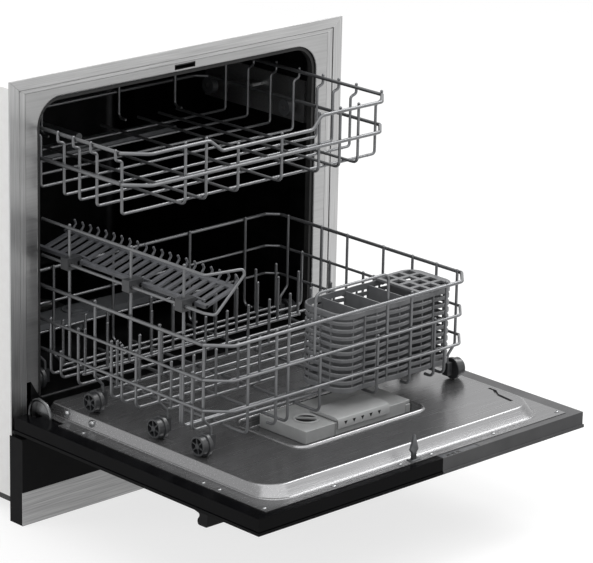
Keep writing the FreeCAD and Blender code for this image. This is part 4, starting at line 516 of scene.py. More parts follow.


# Display window
# A strip of smoked acrylic lies over the display in the door's upper edge, and three small black
# sensor eyes show through it. The strip's grey is partly a painted reflection, matched to the grey
# painted on the door's edge beside it.
smoked_grey_painted_reflection = gloss("acrylic_smoked_painted_reflection", "#4a4b4e", "#545558", (0.12, 0.2), IOR=1.49, Specular_IOR_Level=0.2)
eye_black = gloss("acrylic_black", "#060607", "#0a0a0b", (0.1, 0.18), IOR=1.49, Specular_IOR_Level=0.2)
piece("display_window", block((28.0, 96.0), (-477.3, -469.0), (144.6, 149.2)), "door", smoked_grey_painted_reflection, edge=0.4)
eyes = [block((x, x + 5.5), (-477.0, -472.6), (149.1, 149.4)) for x in (38.0, 47.5, 57.0)]
piece("display_eyes", together(*eyes), "door", eye_black)


# Door liner
# The liner is deep-drawn from satin stainless sheet. Its raised pan has a bead at the foot and a
# rolled upper edge, and a rolled rim runs round the well for the dispenser.
liner_steel, tree, shader = surface("door_liner_stainless_satin", Metallic=0.82)
lines = grain(tree, 1.3, run=60, along="X")
tree.links.new(tint(tree, lines, "#7f7f80", "#8d8d8e"), shader.inputs["Base Color"])
tree.links.new(spread(tree, lines, 0.24, 0.28), shader.inputs["Roughness"])
pan_half, pan_fore, pan_aft, pan_bend, pan_heel = 250.5, -452.0, -16.0, 38.0, 6.0
rest, flat, groove_deep, liner_thick = 150.3, 164.3, 2.4, 0.8


def pan_ring(side_in, front_in, high):
    """The pan's outline at one height, drawn in from its foot."""
    return [(a, b, high) for a, b in rounded(side_in - pan_half, pan_half - side_in, pan_fore + front_in,
                                             pan_aft - side_in, [pan_bend, pan_bend, pan_heel, pan_heel], 12)]


well, well_bend = (-116.0, 114.0, -361.0, -240.0), 15.0


def well_ring(grow, high):
    """The well's outline at one height, grown from its wall."""
    return [(a, b, high) for a, b in rounded(well[0] - grow, well[1] + grow, well[2] - grow, well[3] + grow,
                                             well_bend + grow, 8)]


pan_rings = [pan_ring(*row) for row in (
    (-2.8, -2.8, rest), (-2.4, -2.4, 151.0), (-1.6, -1.6, 151.45), (-0.8, -0.8, 151.3), (-0.1, 0.1, 150.9),
    (0.5, 1.1, 151.5), (3.7, 10.8, 162.4), (4.3, 12.0, 163.7), (5.2, 13.1, 164.35), (6.4, 14.5, 164.5),
    (7.8, 15.9, 164.4), (9.4, 17.4, flat))]
well_rings = [well_ring(*row) for row in (
    (6.2, flat), (5.6, 165.1), (4.6, 166.2), (3.3, 166.8), (2.0, 166.5), (1.0, 165.6), (0.3, 164.2),
    (0.0, 162.6), (-0.6, 153.6), (-1.6, 152.5), (-3.2, 152.3))]
groove = [(238.6, -361.0), (238.8, -373.0), (229.8, -385.6), (225.6, -416.6),
          (220.2, -416.2), (224.2, -384.0), (234.2, -371.2), (234.6, -361.0)]
groove_rings = [[(x, y, high) for x, y in groove] for high in (flat, flat - groove_deep)]
edge_line = [(-274, -468), (274, -468), (274, -68.3), (263.2, -68.3), (263.2, -12), (-263.2, -12),
             (-263.2, -68.3), (-274, -68.3)]
level = sheet_with_holes([edge_line, [p[:2] for p in pan_rings[0]]], rest, "Z")
plateau_edge, well_edge = ([p[:2] for p in ring] for ring in (pan_rings[-1], well_rings[0]))
plateau = sheet_with_holes([plateau_edge, well_edge, groove], flat, "Z")
liner = piece("door_liner_pan", together(level, skin(pan_rings), plateau, skin(well_rings, cap_last=True),
                                         skin(groove_rings, cap_last=True)),
              "door", liner_steel, "door_liner", sharp=SHEET_BEND)
if max(liner.data.polygons, key=lambda face: face.area).normal.z < 0:
    liner.data.flip_normals()
thicken(liner, liner_thick)


# Screws of the liner and the hinges
# Small cross-head screws of bright stainless hold the liner's flange down, and larger ringed ones
# in the pan's side walls hold the hinge arms.
def node_group(name, **takes):
    """A Geometry Nodes tree that takes named values. Gives the tree, its sockets and what comes in."""
    tree = bpy.data.node_groups.new(name, "GeometryNodeTree")
    sockets = {word: tree.interface.new_socket(word, in_out="INPUT", socket_type="NodeSocket" + kind)
               for word, kind in takes.items()}
    tree.interface.new_socket("Result", in_out="OUTPUT", socket_type="NodeSocketGeometry")
    return tree, sockets, add(tree, "NodeGroupInput").outputs


def give_back(tree, geometry, finish):
    """Ends a tree: its copies become one mesh in one finish."""
    real = add(tree, "GeometryNodeRealizeInstances", {"Geometry": geometry}).outputs[0]
    done = add(tree, "GeometryNodeSetMaterial", {"Geometry": real, "Material": finish}).outputs[0]
    add(tree, "NodeGroupOutput", {"Result": done})


def screw_tree():
    """Sets a cross-head screw with a ring under it on each point."""
    tree, sockets, given = node_group("cross_screws", Places="Geometry", Radius="Float", Height="Float",
                                      Turn="Vector", Finish="Material")

    def times(value, share):
        """A value multiplied by a share."""
        return add(tree, "ShaderNodeMath", {0: value, 1: share}, operation="MULTIPLY").outputs[0]

    def size(*values):
        """Three values as one vector."""
        return add(tree, "ShaderNodeCombineXYZ", dict(enumerate(values))).outputs[0]

    radius, high = given["Radius"], given["Height"]
    ball = add(tree, "GeometryNodeMeshUVSphere", {"Segments": 20, "Rings": 10, "Radius": 1.0}).outputs["Mesh"]
    dome = add(tree, "GeometryNodeTransform", {"Geometry": ball, "Scale": size(radius, radius, high)})
    head = dome.outputs[0]
    long_side, thin_side = 1.1, 0.26
    bars = [add(tree, "GeometryNodeMeshCube", {"Size": size(*[times(radius, part) for part in row], high)})
            for row in ((long_side, thin_side), (thin_side, long_side))]
    for bar in bars:
        raised = add(tree, "GeometryNodeTransform", {"Geometry": bar.outputs["Mesh"],
                                                     "Translation": size(0.0, 0.0, high)})
        cut = add(tree, "GeometryNodeMeshBoolean", {0: head}, operation="DIFFERENCE")
        tree.links.new(raised.outputs[0], cut.inputs[1])
        head = cut.outputs[0]
    ring = add(tree, "GeometryNodeMeshCylinder", {"Vertices": 24, "Radius": times(radius, 1.3),
                                                  "Depth": times(high, 0.5)}).outputs["Mesh"]
    whole = add(tree, "GeometryNodeJoinGeometry", {0: head})
    tree.links.new(ring, whole.inputs[0])
    laid = add(tree, "GeometryNodeInstanceOnPoints", {
        "Points": given["Places"], "Instance": whole.outputs[0], "Rotation": given["Turn"]})
    give_back(tree, laid.outputs["Instances"], given["Finish"])
    return tree, sockets


def grown(name, start, made_by, values, body, nodes=()):
    """Runs a Geometry Nodes tree on a mesh, keeps the plain mesh that comes out, and hands it to its body."""
    tree, sockets = made_by
    made = bpy.data.objects.new(name, start)
    bpy.context.scene.collection.objects.link(made)
    maker = made.modifiers.new("maker", "NODES")
    maker.node_group = tree
    for word, value in values.items():
        maker[sockets[word].identifier] = value
    whole = bpy.data.meshes.new_from_object(made.evaluated_get(bpy.context.evaluated_depsgraph_get()))
    made.modifiers.remove(maker)
    made.data = whole
    whole.name = name
    hand_over(made, body, nodes)


def places(name, points):
    """A mesh of loose points, given in mm."""
    mesh = bpy.data.meshes.new(name)
    mesh.from_pydata([Vector(p) * MM for p in points], [], [])
    return mesh


screws = screw_tree()
screw_steel = plated("screw_stainless", "#8e8f90", "#b0b1b2", rough=(0.16, 0.26))
flange_half, flange_end, flange_high, pan_side, hinge_high = 267.0, -460.0, 150.4, 249.3, 157.6
spots = [(flange_half * side, y, flange_high) for side in (-1, 1) for y in (-111.5, -345.5, -375.5, -458.0)]
spots += [(x, flange_end, flange_high) for x in (-150.0, -32.0, 24.0, 141.0)]
small, large = {"Radius": 2.6 * MM, "Height": 1.5 * MM}, {"Radius": 4.2 * MM, "Height": 2.6 * MM}
grown("liner_screws", places("liner_screw_places", spots), screws,
      {**small, "Turn": (0.0, 0.0, 0.4), "Finish": screw_steel}, "door")
for side, word in ((-1, "left"), (1, "right")):
    spots = [(pan_side * side, y, hinge_high) for y in (-56.5, -107.5)]
    values = {**large, "Turn": (0.3, math.radians(90) * side, 0.0), "Finish": screw_steel}
    grown("hinge_screws_" + word, places("hinge_screw_places", spots), screws, values, "door",
          "pivot_screws" if side < 0 else ())


# Dispenser
# The dispenser is a light grey polypropylene moulding, set in the liner's well. Its sliding lid
# covers the detergent cup, and a quarter-turn cap closes the rinse aid tank.
dispenser_grey = moulded("polypropylene_light_grey", "#989999", "#a4a5a5", rough=(0.34, 0.48))
lid_grey = moulded("abs_light_grey", "#9e9f9f", "#aaabab", rough=(0.28, 0.4))
# Black for the lid's marks, and as painted shade in the rinse cap's recess.
black_marks_and_recess_shade = moulded("black_marks_and_painted_recess_shade", "#0c0c0d", "#131314", rough=(0.5, 0.6), Specular_IOR_Level=0.2)
box_fore, box_aft, box_low, box_high = -335.0, -247.0, 152.4, 170.2
mark_count, mark_from, mark_pitch, mark_high, mark_half = 5, -10.0, 15.4, 167.6, 3.0
tank = block((-80.0, -27.0), (box_fore, box_aft), (box_low, box_high))
cup = block((-26.0, 104.0), (box_fore, box_aft), (box_low, box_high - 0.6))
step = block((104.4, 112.8), (box_fore, box_aft), (box_low, 164.2))
shelf = block((74.0, 112.8), (box_fore + 1.6, box_aft), (164.8, box_high - 0.8))
web = block((104.0, 112.4), (box_fore + 3.0, box_aft), (163.6, 165.4))
piece("dispenser_housing", together(tank, cup, step, shelf, web), "door", dispenser_grey, "dispenser_body",
      edge=1.1, steps=3)
lid_top = [(-282.6, box_high + 0.5), (-282.6, 173.4), (-290.0, 175.6), (-329.0, 175.9), (-335.6, 174.2),
           (-337.4, 170.0), (-337.4, 160.6), (-335.6, 160.6), (-335.6, box_high + 0.5)]
lid = prism(lid_top, -24.0, 71.0, "X")
piece("dispenser_sliding_lid", lid, "detergent_lid", lid_grey, "dispenser_lid", edge=0.8, steps=3)
marks = []
for i in range(mark_count):
    x = mark_from + mark_pitch * i
    mark = [(x - mark_half, mark_high + 2.2), (x + mark_half, mark_high + 2.2), (x, mark_high - 3.2)]
    marks.append(prism(mark, -337.5, -336.6, "Y"))
piece("dispenser_marks", together(*marks), "detergent_lid", black_marks_and_recess_shade)
cap_across, cap_along, cap_low, cap_radius, cap_floor = -46.0, -300.0, 170.3, 17.6, 170.6
cap_steps, bar_half, bar_wide, bar_low, bar_top = 48, 14.6, 1.7, 170.4, 172.6
cap_rings = []
for radius, high in ((cap_radius, cap_low), (cap_radius, 171.2), (cap_radius - 0.6, 171.9),
                     (cap_radius - 2.2, 172.1), (cap_radius - 3.0, 171.6), (cap_radius - 3.4, 170.5)):
    cap_rings.append([(cap_across + radius * math.cos(math.tau * i / cap_steps),
                       cap_along + radius * math.sin(math.tau * i / cap_steps), high)
                      for i in range(cap_steps)])
turn = math.radians(-48)
aim, aside = (math.cos(turn), math.sin(turn)), (-math.sin(turn), math.cos(turn))
bar = [(cap_across + a * aim[0] + b * aside[0], cap_along + a * aim[1] + b * aside[1])
       for a, b in ((-bar_half, -bar_wide), (bar_half, -bar_wide),
                    (bar_half, bar_wide), (-bar_half, bar_wide))]
cap_shape = together(skin(cap_rings, cap_first=True, cap_last=True), prism(bar, bar_low, bar_top, "Z"))
# The cap's sunk floor on each side of the grip bar is black, a painted shade for the recess.
piece("rinse_cap_dial", cap_shape, "rinse_cap", [lid_grey, black_marks_and_recess_shade], "rinse_aid_cap", sharp=40,
      finish_of=lambda at, normal: 1 if at.z < cap_floor and normal.z > 0.9 else 0)


# Lower rack
# Steel wires 4 and 5 mm thick are bent, spot-welded and dipped in grey nylon powder. The coat
# rounds every bend and leaves a small bead on each free end.
def wire_tree():
    """Turns polylines into round wires with rounded bends, and puts a bead on each free end."""
    tree, sockets, given = node_group("bent_wires", Lines="Geometry", Sides="Int", Steps="Int",
                                      Finish="Material")

    def point_value(word):
        """A value that each point of the lines carries."""
        named = add(tree, "GeometryNodeInputNamedAttribute", {"Name": word}, data_type="FLOAT")
        return named.outputs["Attribute"]

    lines = add(tree, "GeometryNodeMeshToCurve", {"Mesh": given["Lines"]}).outputs["Curve"]
    bent = add(tree, "GeometryNodeFilletCurve", {
        "Curve": lines, "Count": given["Steps"], "Radius": point_value("bend"), "Limit Radius": True},
        mode="POLY").outputs["Curve"]
    section = add(tree, "GeometryNodeCurvePrimitiveCircle", {"Resolution": given["Sides"], "Radius": 1.0})
    wires = add(tree, "GeometryNodeCurveToMesh", {
        "Curve": bent, "Profile Curve": section.outputs["Curve"], "Scale": point_value("thick"),
        "Fill Caps": True}).outputs["Mesh"]
    bead = add(tree, "GeometryNodeMeshUVSphere", {"Segments": given["Sides"], "Rings": 6, "Radius": 1.0})
    free = add(tree, "FunctionNodeCompare", {0: point_value("bead"), 1: 0.0}, operation="GREATER_THAN")
    ends = add(tree, "GeometryNodeCurveEndpointSelection", {"Start Size": 1, "End Size": 1})
    both = add(tree, "FunctionNodeBooleanMath", {0: ends.outputs[0], 1: free.outputs[0]}, operation="AND")
    beads = add(tree, "GeometryNodeInstanceOnPoints", {
        "Points": lines, "Selection": both.outputs[0], "Instance": bead.outputs["Mesh"],
        "Scale": point_value("bead")}).outputs["Instances"]
    joined = add(tree, "GeometryNodeJoinGeometry", {0: wires})
    tree.links.new(beads, joined.inputs[0])
    smooth = add(tree, "GeometryNodeSetShadeSmooth", {"Geometry": joined.outputs[0]}).outputs[0]
    give_back(tree, smooth, given["Finish"])
    return tree, sockets


bending, bend_parts, bead_share = wire_tree(), 5, 1.12


def wires(name, body, nodes, runs, finish, sides=12):
    """Makes a piece of bent wires. A run is its points in mm, its radius, and its inside bend radius."""
    points, edges, thick, bend, bead = [], [], [], [], []
    for run, radius, inside in runs:
        start = len(points)
        points += [Vector(p) * MM for p in run]
        edges += [(start + i, start + i + 1) for i in range(len(run) - 1)]
        thick += [radius * MM] * len(run)
        bend += [(inside + radius) * MM] * len(run)
        bead += [radius * bead_share * MM] * len(run)
    lines = bpy.data.meshes.new(name + "_lines")
    lines.from_pydata(points, edges, [])
    for word, values in (("thick", thick), ("bend", bend), ("bead", bead)):
        lines.attributes.new(word, "FLOAT", "POINT").data.foreach_set("value", values)
    grown(name, lines, bending, {"Sides": sides, "Steps": bend_parts, "Finish": finish}, body, nodes)


coat = gloss("nylon_coat_grey", "#67686a", "#747577", (0.28, 0.34), IOR=1.53, Metallic=0.6,
             Specular_IOR_Level=0.8)
rail, wire, weld, knob = 2.5, 2.0, 0.4, 3.0
half, fore, aft, corner, heel = 233.5, -333.0, 65.0, 27.0, 15.0
top, mid, low, floor_high, toe = 315.0, 268.0, 227.0, 193.0, 15.0
reach = rail + wire - weld
post = half - reach
joint, axle_bend, axle_foot, gap = 1.5, 13.4, 190.0, 0.3
fore_bend, aft_bend, foot_bend, bail_bend, carrier_bend = 9.0, 7.0, 6.0, 8.0, 5.0
join_fore, join_aft = fore + corner + joint, aft - heel - joint
long_high = floor_high - 2 * wire + weld


def front_loop(across, y, high, end, cut):
    """A rail round the front end, as seen from above, with its two cut corners."""
    return [(-across, end, high), (-across, y + cut, high), (cut - across, y, high), (across - cut, y, high),
            (across, y + cut, high), (across, end, high)]


def back_loop(across, y, high, end, cut):
    """The same rail round the back end."""
    return [(a, 2 * y - b, c) for a, b, c in front_loop(across, y, high, 2 * y - end, cut)]


def along(share):
    """The place of a side wire on the lower rack."""
    return fore + (aft - fore) * share


def straight(*ends):
    """A straight thin wire."""
    return list(ends), wire, 0.0


def footed(x, y, crown, level, inward):
    """A wire that comes down inside an end and turns in along the floor."""
    return [(x, y, crown), (x, y, level), (x, y + inward, level)], wire, foot_bend


rails = ((top, rail, 0.0), (mid, wire, 0.5), (low, wire, 0.5))
wheel_shares = (0.0785, 0.291, 0.611, 0.912)
mid_shares = (0.131, 0.186, 0.4045, 0.475, 0.528, 0.696, 0.839)
high_share, low_share = 0.176, 0.786
cross_shares = mid_shares + (low_share, high_share)
tall_shares = (high_share, 0.432, 0.741)
short_front = (-0.218, 0.231, 0.6895)
front_shares = (-0.762, -0.552, -0.4625, 0.4925, 0.775) + short_front
back_shares = (-0.75, -0.3, 0.3, 0.75)
length_shares = (-0.762, -0.4625, -0.218, 0.231, 0.775)
side_runs = []
for side in (-1, 1):
    for high, radius, inset in rails:
        x = (half - inset) * side
        side_runs.append(([(x, join_fore, high), (x, join_aft, high)], radius, 0.0))
    for share in wheel_shares:
        y, drop, axle = along(share), low - axle_bend, (post - axle_bend) * side
        side_runs.append(([(post * side, y, top + knob), (post * side, y, drop), (axle, y, drop - axle_bend),
                           (axle, y, axle_foot)], wire, carrier_bend))
    for share, foot in zip(tall_shares[1:], (mid, low)):
        side_runs.append(straight((post * side, along(share), top + knob),
                                  (post * side, along(share), foot - knob)))
    for share in cross_shares:
        crown = {low_share: low, high_share: top}.get(share, mid) + knob
        side_runs.append(([(post * side, along(share), crown), (post * side, along(share), floor_high),
                           ((post - toe) * side, along(share), floor_high)], wire, foot_bend))
wires("lower_rack_side_wires", "lower_rack", "lower_rack_sides", side_runs, coat)

bail_left, bail_right, bail_top = -62.0, 70.0, 353.0
front_out, back_in = fore + reach, aft - reach
end_runs = [(front_loop(half - inset, fore + inset, high, join_fore, corner), radius, fore_bend)
            for high, radius, inset in rails]
end_runs += [(back_loop(half - inset, aft - inset, high, join_aft, heel), radius, aft_bend)
             for high, radius, inset in rails]
end_runs += [footed(half * share, front_out, (mid if share in short_front else top) + knob, long_high, toe)
             for share in front_shares]
end_runs += [footed(half * share, back_in, top + knob, long_high, -toe) for share in back_shares]
end_runs.append(([(bail_left, front_out, mid - knob), (bail_left, front_out, bail_top),
                  (bail_right, front_out, bail_top), (bail_right, front_out, mid - knob)], wire, bail_bend))
wires("lower_rack_end_wires", "lower_rack", "lower_rack_ends", end_runs, coat)

inner_toe = post - toe - gap
floor_runs = [straight((-inner_toe, along(share), floor_high), (inner_toe, along(share), floor_high))
              for share in cross_shares]
floor_runs += [straight((half * share, front_out + toe + gap, long_high),
                        (half * share, back_in - toe - gap, long_high)) for share in length_shares]
wires("lower_rack_floor_wires", "lower_rack", "lower_rack_floor", floor_runs, coat)

tine_top, tine_pitch, tine_from, tine_short, short_end = 256.0, 39.0, -195.0, 5, -15.0
tine_foot = long_high + 2 * wire
tine_runs = []
for share, count in ((0.33, tine_short), (0.6, 11), (0.765, 11), (0.88, 11)):
    y = along(share)
    last = tine_from + tine_pitch * (count - 1)
    end = short_end if count == tine_short else last
    tine_runs.append(straight((tine_from - knob, y, tine_foot), (end + knob, y, tine_foot)))
    for i in range(count):
        x = tine_from + tine_pitch * i
        tine_runs.append(straight((x, y, tine_foot), (x, y, tine_top)))
wires("plate_tine_wires", "lower_rack", "plate_tines", tine_runs, coat)


# Shelf on the left side of the lower rack
# Three uprights carry one bent wire with a pointed front. Dark plastic clips grip them, and the
# comb tray turns on its rod in the clips.
left, shelf_top, shelf_low, shelf_back = -(post + 2 * wire - weld), 407.0, 357.0, 13.0
tip_y, bend_y, tip_x, tip_foot = fore + 13.0, fore + corner, left + 62.0, left + 6.0
tip_top, post_top = 407.4, 409.0
shelf_runs = [([(left, shelf_back, shelf_top), (left, bend_y, shelf_top), (tip_x, tip_y, tip_top),
                (tip_foot, tip_y, shelf_low), (left, bend_y, shelf_low), (left, shelf_back, shelf_low)],
               wire, 3.0)]
shelf_runs += [straight((-post, along(share), top + knob), (-post, along(share), post_top))
               for share in tall_shares]
wires("shelf_frame_wires", "lower_rack", "shelf_frame", shelf_runs, coat)
shelf_dark = moulded("polypropylene_dark_grey", "#2a2b2d", "#38393b", rough=(0.34, 0.48))
tray_grey = moulded("polypropylene_tray", "#46474a", "#55565a", rough=(0.34, 0.48))
dress("shelf_clips", shelf_dark)


# Comb tray on the shelf
# The tray is one polypropylene moulding: a rib on its rod at the outer edge, slats that rise
# inward, and at their ends a row of short prongs with hooked tips.
def stack_tree():
    """Repeats one form along a line of its own."""
    tree, sockets, given = node_group("repeated_ribs", Rib="Geometry", Count="Int", Pitch="Vector",
                                      Finish="Material")
    line = add(tree, "GeometryNodeMeshLine", {"Count": given["Count"], "Offset": given["Pitch"]},
               mode="OFFSET")
    laid = add(tree, "GeometryNodeInstanceOnPoints",
               {"Points": line.outputs["Mesh"], "Instance": given["Rib"]})
    give_back(tree, laid.outputs["Instances"], given["Finish"])
    return tree, sockets


stacking = stack_tree()
tray_out, tray_in, tray_low, tray_up, tray_thick = -216.0, -166.0, 355.5, 370.4, 3.0
tray_fore, tray_aft, slat_pitch, slat_wide = -290.0, 46.0, 16.0, 6.5
rod_left, rod_right, rod_top, clip_half, bridge_half = -219.0, -211.5, 361.0, 8.0, 13.0
prong_radius, prong_bend = 1.6, 1.5
slat = prism([(tray_out, tray_low), (tray_in, tray_up), (tray_in, tray_up + tray_thick),
              (tray_out, tray_low + tray_thick)], tray_fore, tray_fore + slat_wide, "Y")
slat_count = int((tray_aft - tray_fore) / slat_pitch)
grown("comb_slats", plain_mesh("comb_slat", slat), stacking,
      {"Count": slat_count, "Pitch": (0.0, slat_pitch * MM, 0.0), "Finish": tray_grey}, "shelf")
clips_at = [along(share) for share in tall_shares]
stops = [tray_fore]
for y in sorted(clips_at):
    stops += [y - clip_half, y + clip_half]
stops.append(tray_aft)
outer_rib = [(rod_left, tray_low), (rod_right, tray_low), (rod_right, rod_top), (rod_left, rod_top)]
ribs = [prism(outer_rib, low_end, high_end, "Y") for low_end, high_end in zip(stops[::2], stops[1::2])]
inner_rib = [(-170.0, 369.2), (-162.0, 371.6), (-162.0, 375.0), (-170.0, 372.6)]
ribs.append(prism(inner_rib, tray_fore, tray_aft, "Y"))
for y in clips_at:
    ribs.append(block((-208.2, -203.6), (y - bridge_half, y + bridge_half), (358.2, 362.0)))
piece("comb_tray_ribs", together(*ribs), "shelf", tray_grey, "side_shelf", edge=0.8)
prong_runs = []
for i in range(slat_count):
    y = tray_fore + slat_wide / 2 + slat_pitch * i
    prong_runs.append(([(tray_in, y, 373.0), (-159.0, y, 381.5), (-161.5, y, 386.5)],
                       prong_radius, prong_bend))
wires("comb_prongs", "shelf", (), prong_runs, tray_grey, sides=8)


# Wheels of the lower rack
# Eight acetal wheels snap onto the carriers' axles. Each has a wide tread, a narrower face with six
# spokes, and a hub with a small centre mark from the mould.
wheel_dark = moulded("acetal_dark_grey", "#2b2c2e", "#38393b", rough=(0.26, 0.38))
dress("wheel_carriers", wheel_dark)
tread, face, bore = 15.0, 13.0, 2.6
wheel_in, flange_wide, wheel_wide, wheel_high = 223.5, 6.0, 15.5, 179.6
spokes, rim_in, hub_out, spoke_half, spoke_turn, soft, sink = 6, 10.6, 3.8, 0.7, 0.3, 0.8, 0.4
web = wheel_wide - 6.5
profile = [(bore, 0.0), (tread - soft, 0.0), (tread, soft), (tread, flange_wide - soft),
           (tread - soft, flange_wide), (face, flange_wide), (face, wheel_wide - 0.7),
           (face - 0.7, wheel_wide), (rim_in, wheel_wide), (rim_in, web), (hub_out, web),
           (hub_out, wheel_wide), (bore, wheel_wide)]
spoke_corners = [(hub_out - sink, -spoke_half), (rim_in + sink, -spoke_half),
                 (rim_in + sink, spoke_half), (hub_out - sink, spoke_half)]
spoke_faces = block((0, 1), (0, 1), (0, 1))[1]
for side, word in ((-1, "left"), (1, "right")):
    for i, share in enumerate(wheel_shares):
        centre = (wheel_in * side, along(share), wheel_high)
        shapes = [turned(profile, centre, side)]
        for k in range(spokes):
            turn = math.tau * k / spokes + spoke_turn
            ahead = Vector((0, math.cos(turn), math.sin(turn)))
            aside = Vector((0, -math.sin(turn), math.cos(turn)))
            corners = [Vector(centre) + Vector((side * distance, 0, 0)) + ahead * out + aside * over
                       for distance in (web - 0.2, wheel_wide - 0.5) for out, over in spoke_corners]
            shapes.append(([tuple(corner) for corner in corners], spoke_faces))
        label = word + "_" + str(i + 1)
        piece("rack_wheel_" + label, together(*shapes), "rack_wheel_" + label, wheel_dark, "wheel_" + label,
              sharp=40)


# Cutlery basket
# The basket is moulded in mid grey polypropylene in five compartments. Rows of thin slats run round
# it and bow out between upright ribs, so that the water can pass.
basket_grey = moulded("polypropylene_basket", "#636466", "#737476", rough=(0.28, 0.4))
basket_left, basket_right, basket_fore, basket_aft = 0.0, 214.0, -317.0, -231.0
basket_low, base_top, rim_low, rib_top, divider_top, basket_top = 195.3, 203.0, 296.6, 298.0, 302.0, 305.0
basket_bend, cells, point_step = 22.0, 5, 4.2
cell = (basket_right - basket_left) / cells


def basket_ring(inset, high, bow):
    """The basket's outline at one height, bowed out between its ribs."""
    corners = rounded(basket_left + inset, basket_right - inset, basket_fore + inset, basket_aft - inset,
                      basket_bend - inset, 6)
    ring = []
    for i, (x0, y0) in enumerate(corners):
        x1, y1 = corners[(i + 1) % len(corners)]
        parts = max(1, round(math.dist((x0, y0), (x1, y1)) / point_step))
        ring += [(x0 + (x1 - x0) * k / parts, y0 + (y1 - y0) * k / parts) for k in range(parts)]
    middle_y = (basket_fore + basket_aft) / 2
    bowed = []
    for x, y in ring:
        depth = bow * (1 - abs(math.sin(math.pi * (x - basket_left) / cell)))
        bowed.append((x, y + (depth if y < middle_y else -depth), high))
    return bowed


def band_shape(low_end, high_end, wall, bow):
    """A closed band round the basket, with its outer edges rounded."""
    soft = min(1.0, (high_end - low_end) / 4)
    rows = ((soft, low_end), (0.0, low_end + soft), (0.0, high_end - soft), (soft, high_end),
            (wall, high_end), (wall, low_end))
    rings = [basket_ring(grow, high, bow) for grow, high in rows]
    return skin(rings + rings[:1])


slat_rows, slat_from, slat_step, slat_high, slat_wall, slat_bow = 9, 206.4, 10.2, 5.6, 2.0, 2.6
slat = plain_mesh("basket_slat", band_shape(slat_from, slat_from + slat_high, slat_wall, slat_bow))
grown("basket_slats", slat, stacking,
      {"Count": slat_rows, "Pitch": (0.0, 0.0, slat_step * MM), "Finish": basket_grey}, "basket")
band_wall, rim_bow, base_bow, inset, rib_deep, rib_foot = 2.4, 1.2, 2.0, 1.4, 2.2, basket_low + 2
frame_parts = [band_shape(rim_low, basket_top, band_wall, rim_bow),
               band_shape(basket_low, base_top, band_wall, base_bow)]
floor_ring = basket_ring(inset, basket_low + 0.2, base_bow)
frame_parts.append(skin([floor_ring, [(x, y, basket_low + band_wall) for x, y, _ in floor_ring]],
                        cap_first=True, cap_last=True))
for k in range(cells * 2 - 1):
    x, rib_half = basket_left + cell * (k + 1) / 2, 1.3 if k % 2 else 1.0
    for y, inward in ((basket_fore + inset, rib_deep), (basket_aft - inset, -rib_deep)):
        frame_parts.append(block((x - rib_half, x + rib_half), sorted((y, y + inward)), (rib_foot, rib_top)))
for x in (basket_left + 0.6, basket_right - 2.4):
    for y in (-294.0, -274.0, -254.0):
        frame_parts.append(block((x, x + 1.8), (y - 1.2, y + 1.2), (rib_foot, rib_top)))
for k in range(1, cells):
    x = basket_left + cell * k
    frame_parts.append(block((x - 0.8, x + 0.8), (basket_fore + 2.6, basket_aft - 2.6),
                             (rib_foot, divider_top)))
piece("basket_frame", together(*frame_parts), "basket", basket_grey, "cutlery_basket", sharp=40)
dress("basket_lid", basket_grey)


# Upper rack
# The same make of coated wire. Its front rail dips in the middle. Its side wires are welded outside
# the top rail and step in sharply below it, to the inside of the runner.
up_top, up_floor, up_dip, runner_high = 530.0, 447.0, 513.0, 488.0
up_fore, up_aft, up_half, runner, up_post = -172.0, 218.0, 234.0, 231.5, 227.4
up_join_fore, up_join_aft, up_toe = up_fore + corner + joint, up_aft - heel - joint, 14.0
step_from, step_to, dip_left, dip_right = 520.5, 517.0, -84.0, 79.0
up_long_high = up_floor + 2 * wire - weld
up_shares = (0.082, 0.208, 0.297, 0.377, 0.5, 0.62, 0.74, 0.86)
up_front_shares = (-0.615, -0.4615, -0.222, 0.111, 0.402, 0.568, 0.714)


def up_along(share):
    """The place of a side wire on the upper rack."""
    return up_fore + (up_aft - up_fore) * share


up_runs = []
for side in (-1, 1):
    up_runs += [([(x * side, up_join_fore, high), (x * side, up_join_aft, high)], rail, 0.0)
                for x, high in ((up_half, up_top), (runner, runner_high))]
    up_runs += [([((up_half + reach) * side, up_along(share), up_top + knob),
                  ((up_half + reach) * side, up_along(share), step_from),
                  (up_post * side, up_along(share), step_to), (up_post * side, up_along(share), up_floor),
                  ((up_post - up_toe) * side, up_along(share), up_floor)], wire, 2.6) for share in up_shares]
wires("upper_rack_side_wires", "upper_rack", "upper_rack_sides", up_runs, coat)

top_loop = front_loop(up_half, up_fore, up_top, up_join_fore, corner)
top_loop[3:3] = [(dip_left - 22.0, up_fore, up_top), (dip_left, up_fore, up_dip),
                 (dip_right, up_fore, up_dip), (dip_right + 15.0, up_fore, up_top)]
up_out, up_in = up_fore + reach, up_aft - reach
up_end_runs = [(top_loop, rail, fore_bend),
               (front_loop(runner, up_fore, runner_high, up_join_fore, corner), rail, fore_bend),
               (back_loop(up_half, up_aft, up_top, up_join_aft, heel), rail, aft_bend),
               (back_loop(runner, up_aft, runner_high, up_join_aft, heel), rail, aft_bend)]
for share in up_front_shares:
    crown = (up_dip if dip_left < up_half * share < dip_right else up_top) + knob
    up_end_runs.append(footed(up_half * share, up_out, crown, up_long_high, up_toe))
up_end_runs += [footed(up_half * share, up_in, up_top + knob, up_long_high, -up_toe) for share in back_shares]
wires("upper_rack_end_wires", "upper_rack", "upper_rack_ends", up_end_runs, coat)
up_floor_half = up_post - up_toe - gap
up_floor_runs = [straight((-up_floor_half, up_along(share), up_floor),
                          (up_floor_half, up_along(share), up_floor)) for share in up_shares]
up_floor_runs += [straight((up_half * share, up_out + up_toe + gap, up_long_high),
                           (up_half * share, up_in - up_toe - gap, up_long_high))
                  for share in up_front_shares]
wires("upper_rack_floor_wires", "upper_rack", "upper_rack_floor", up_floor_runs, coat)


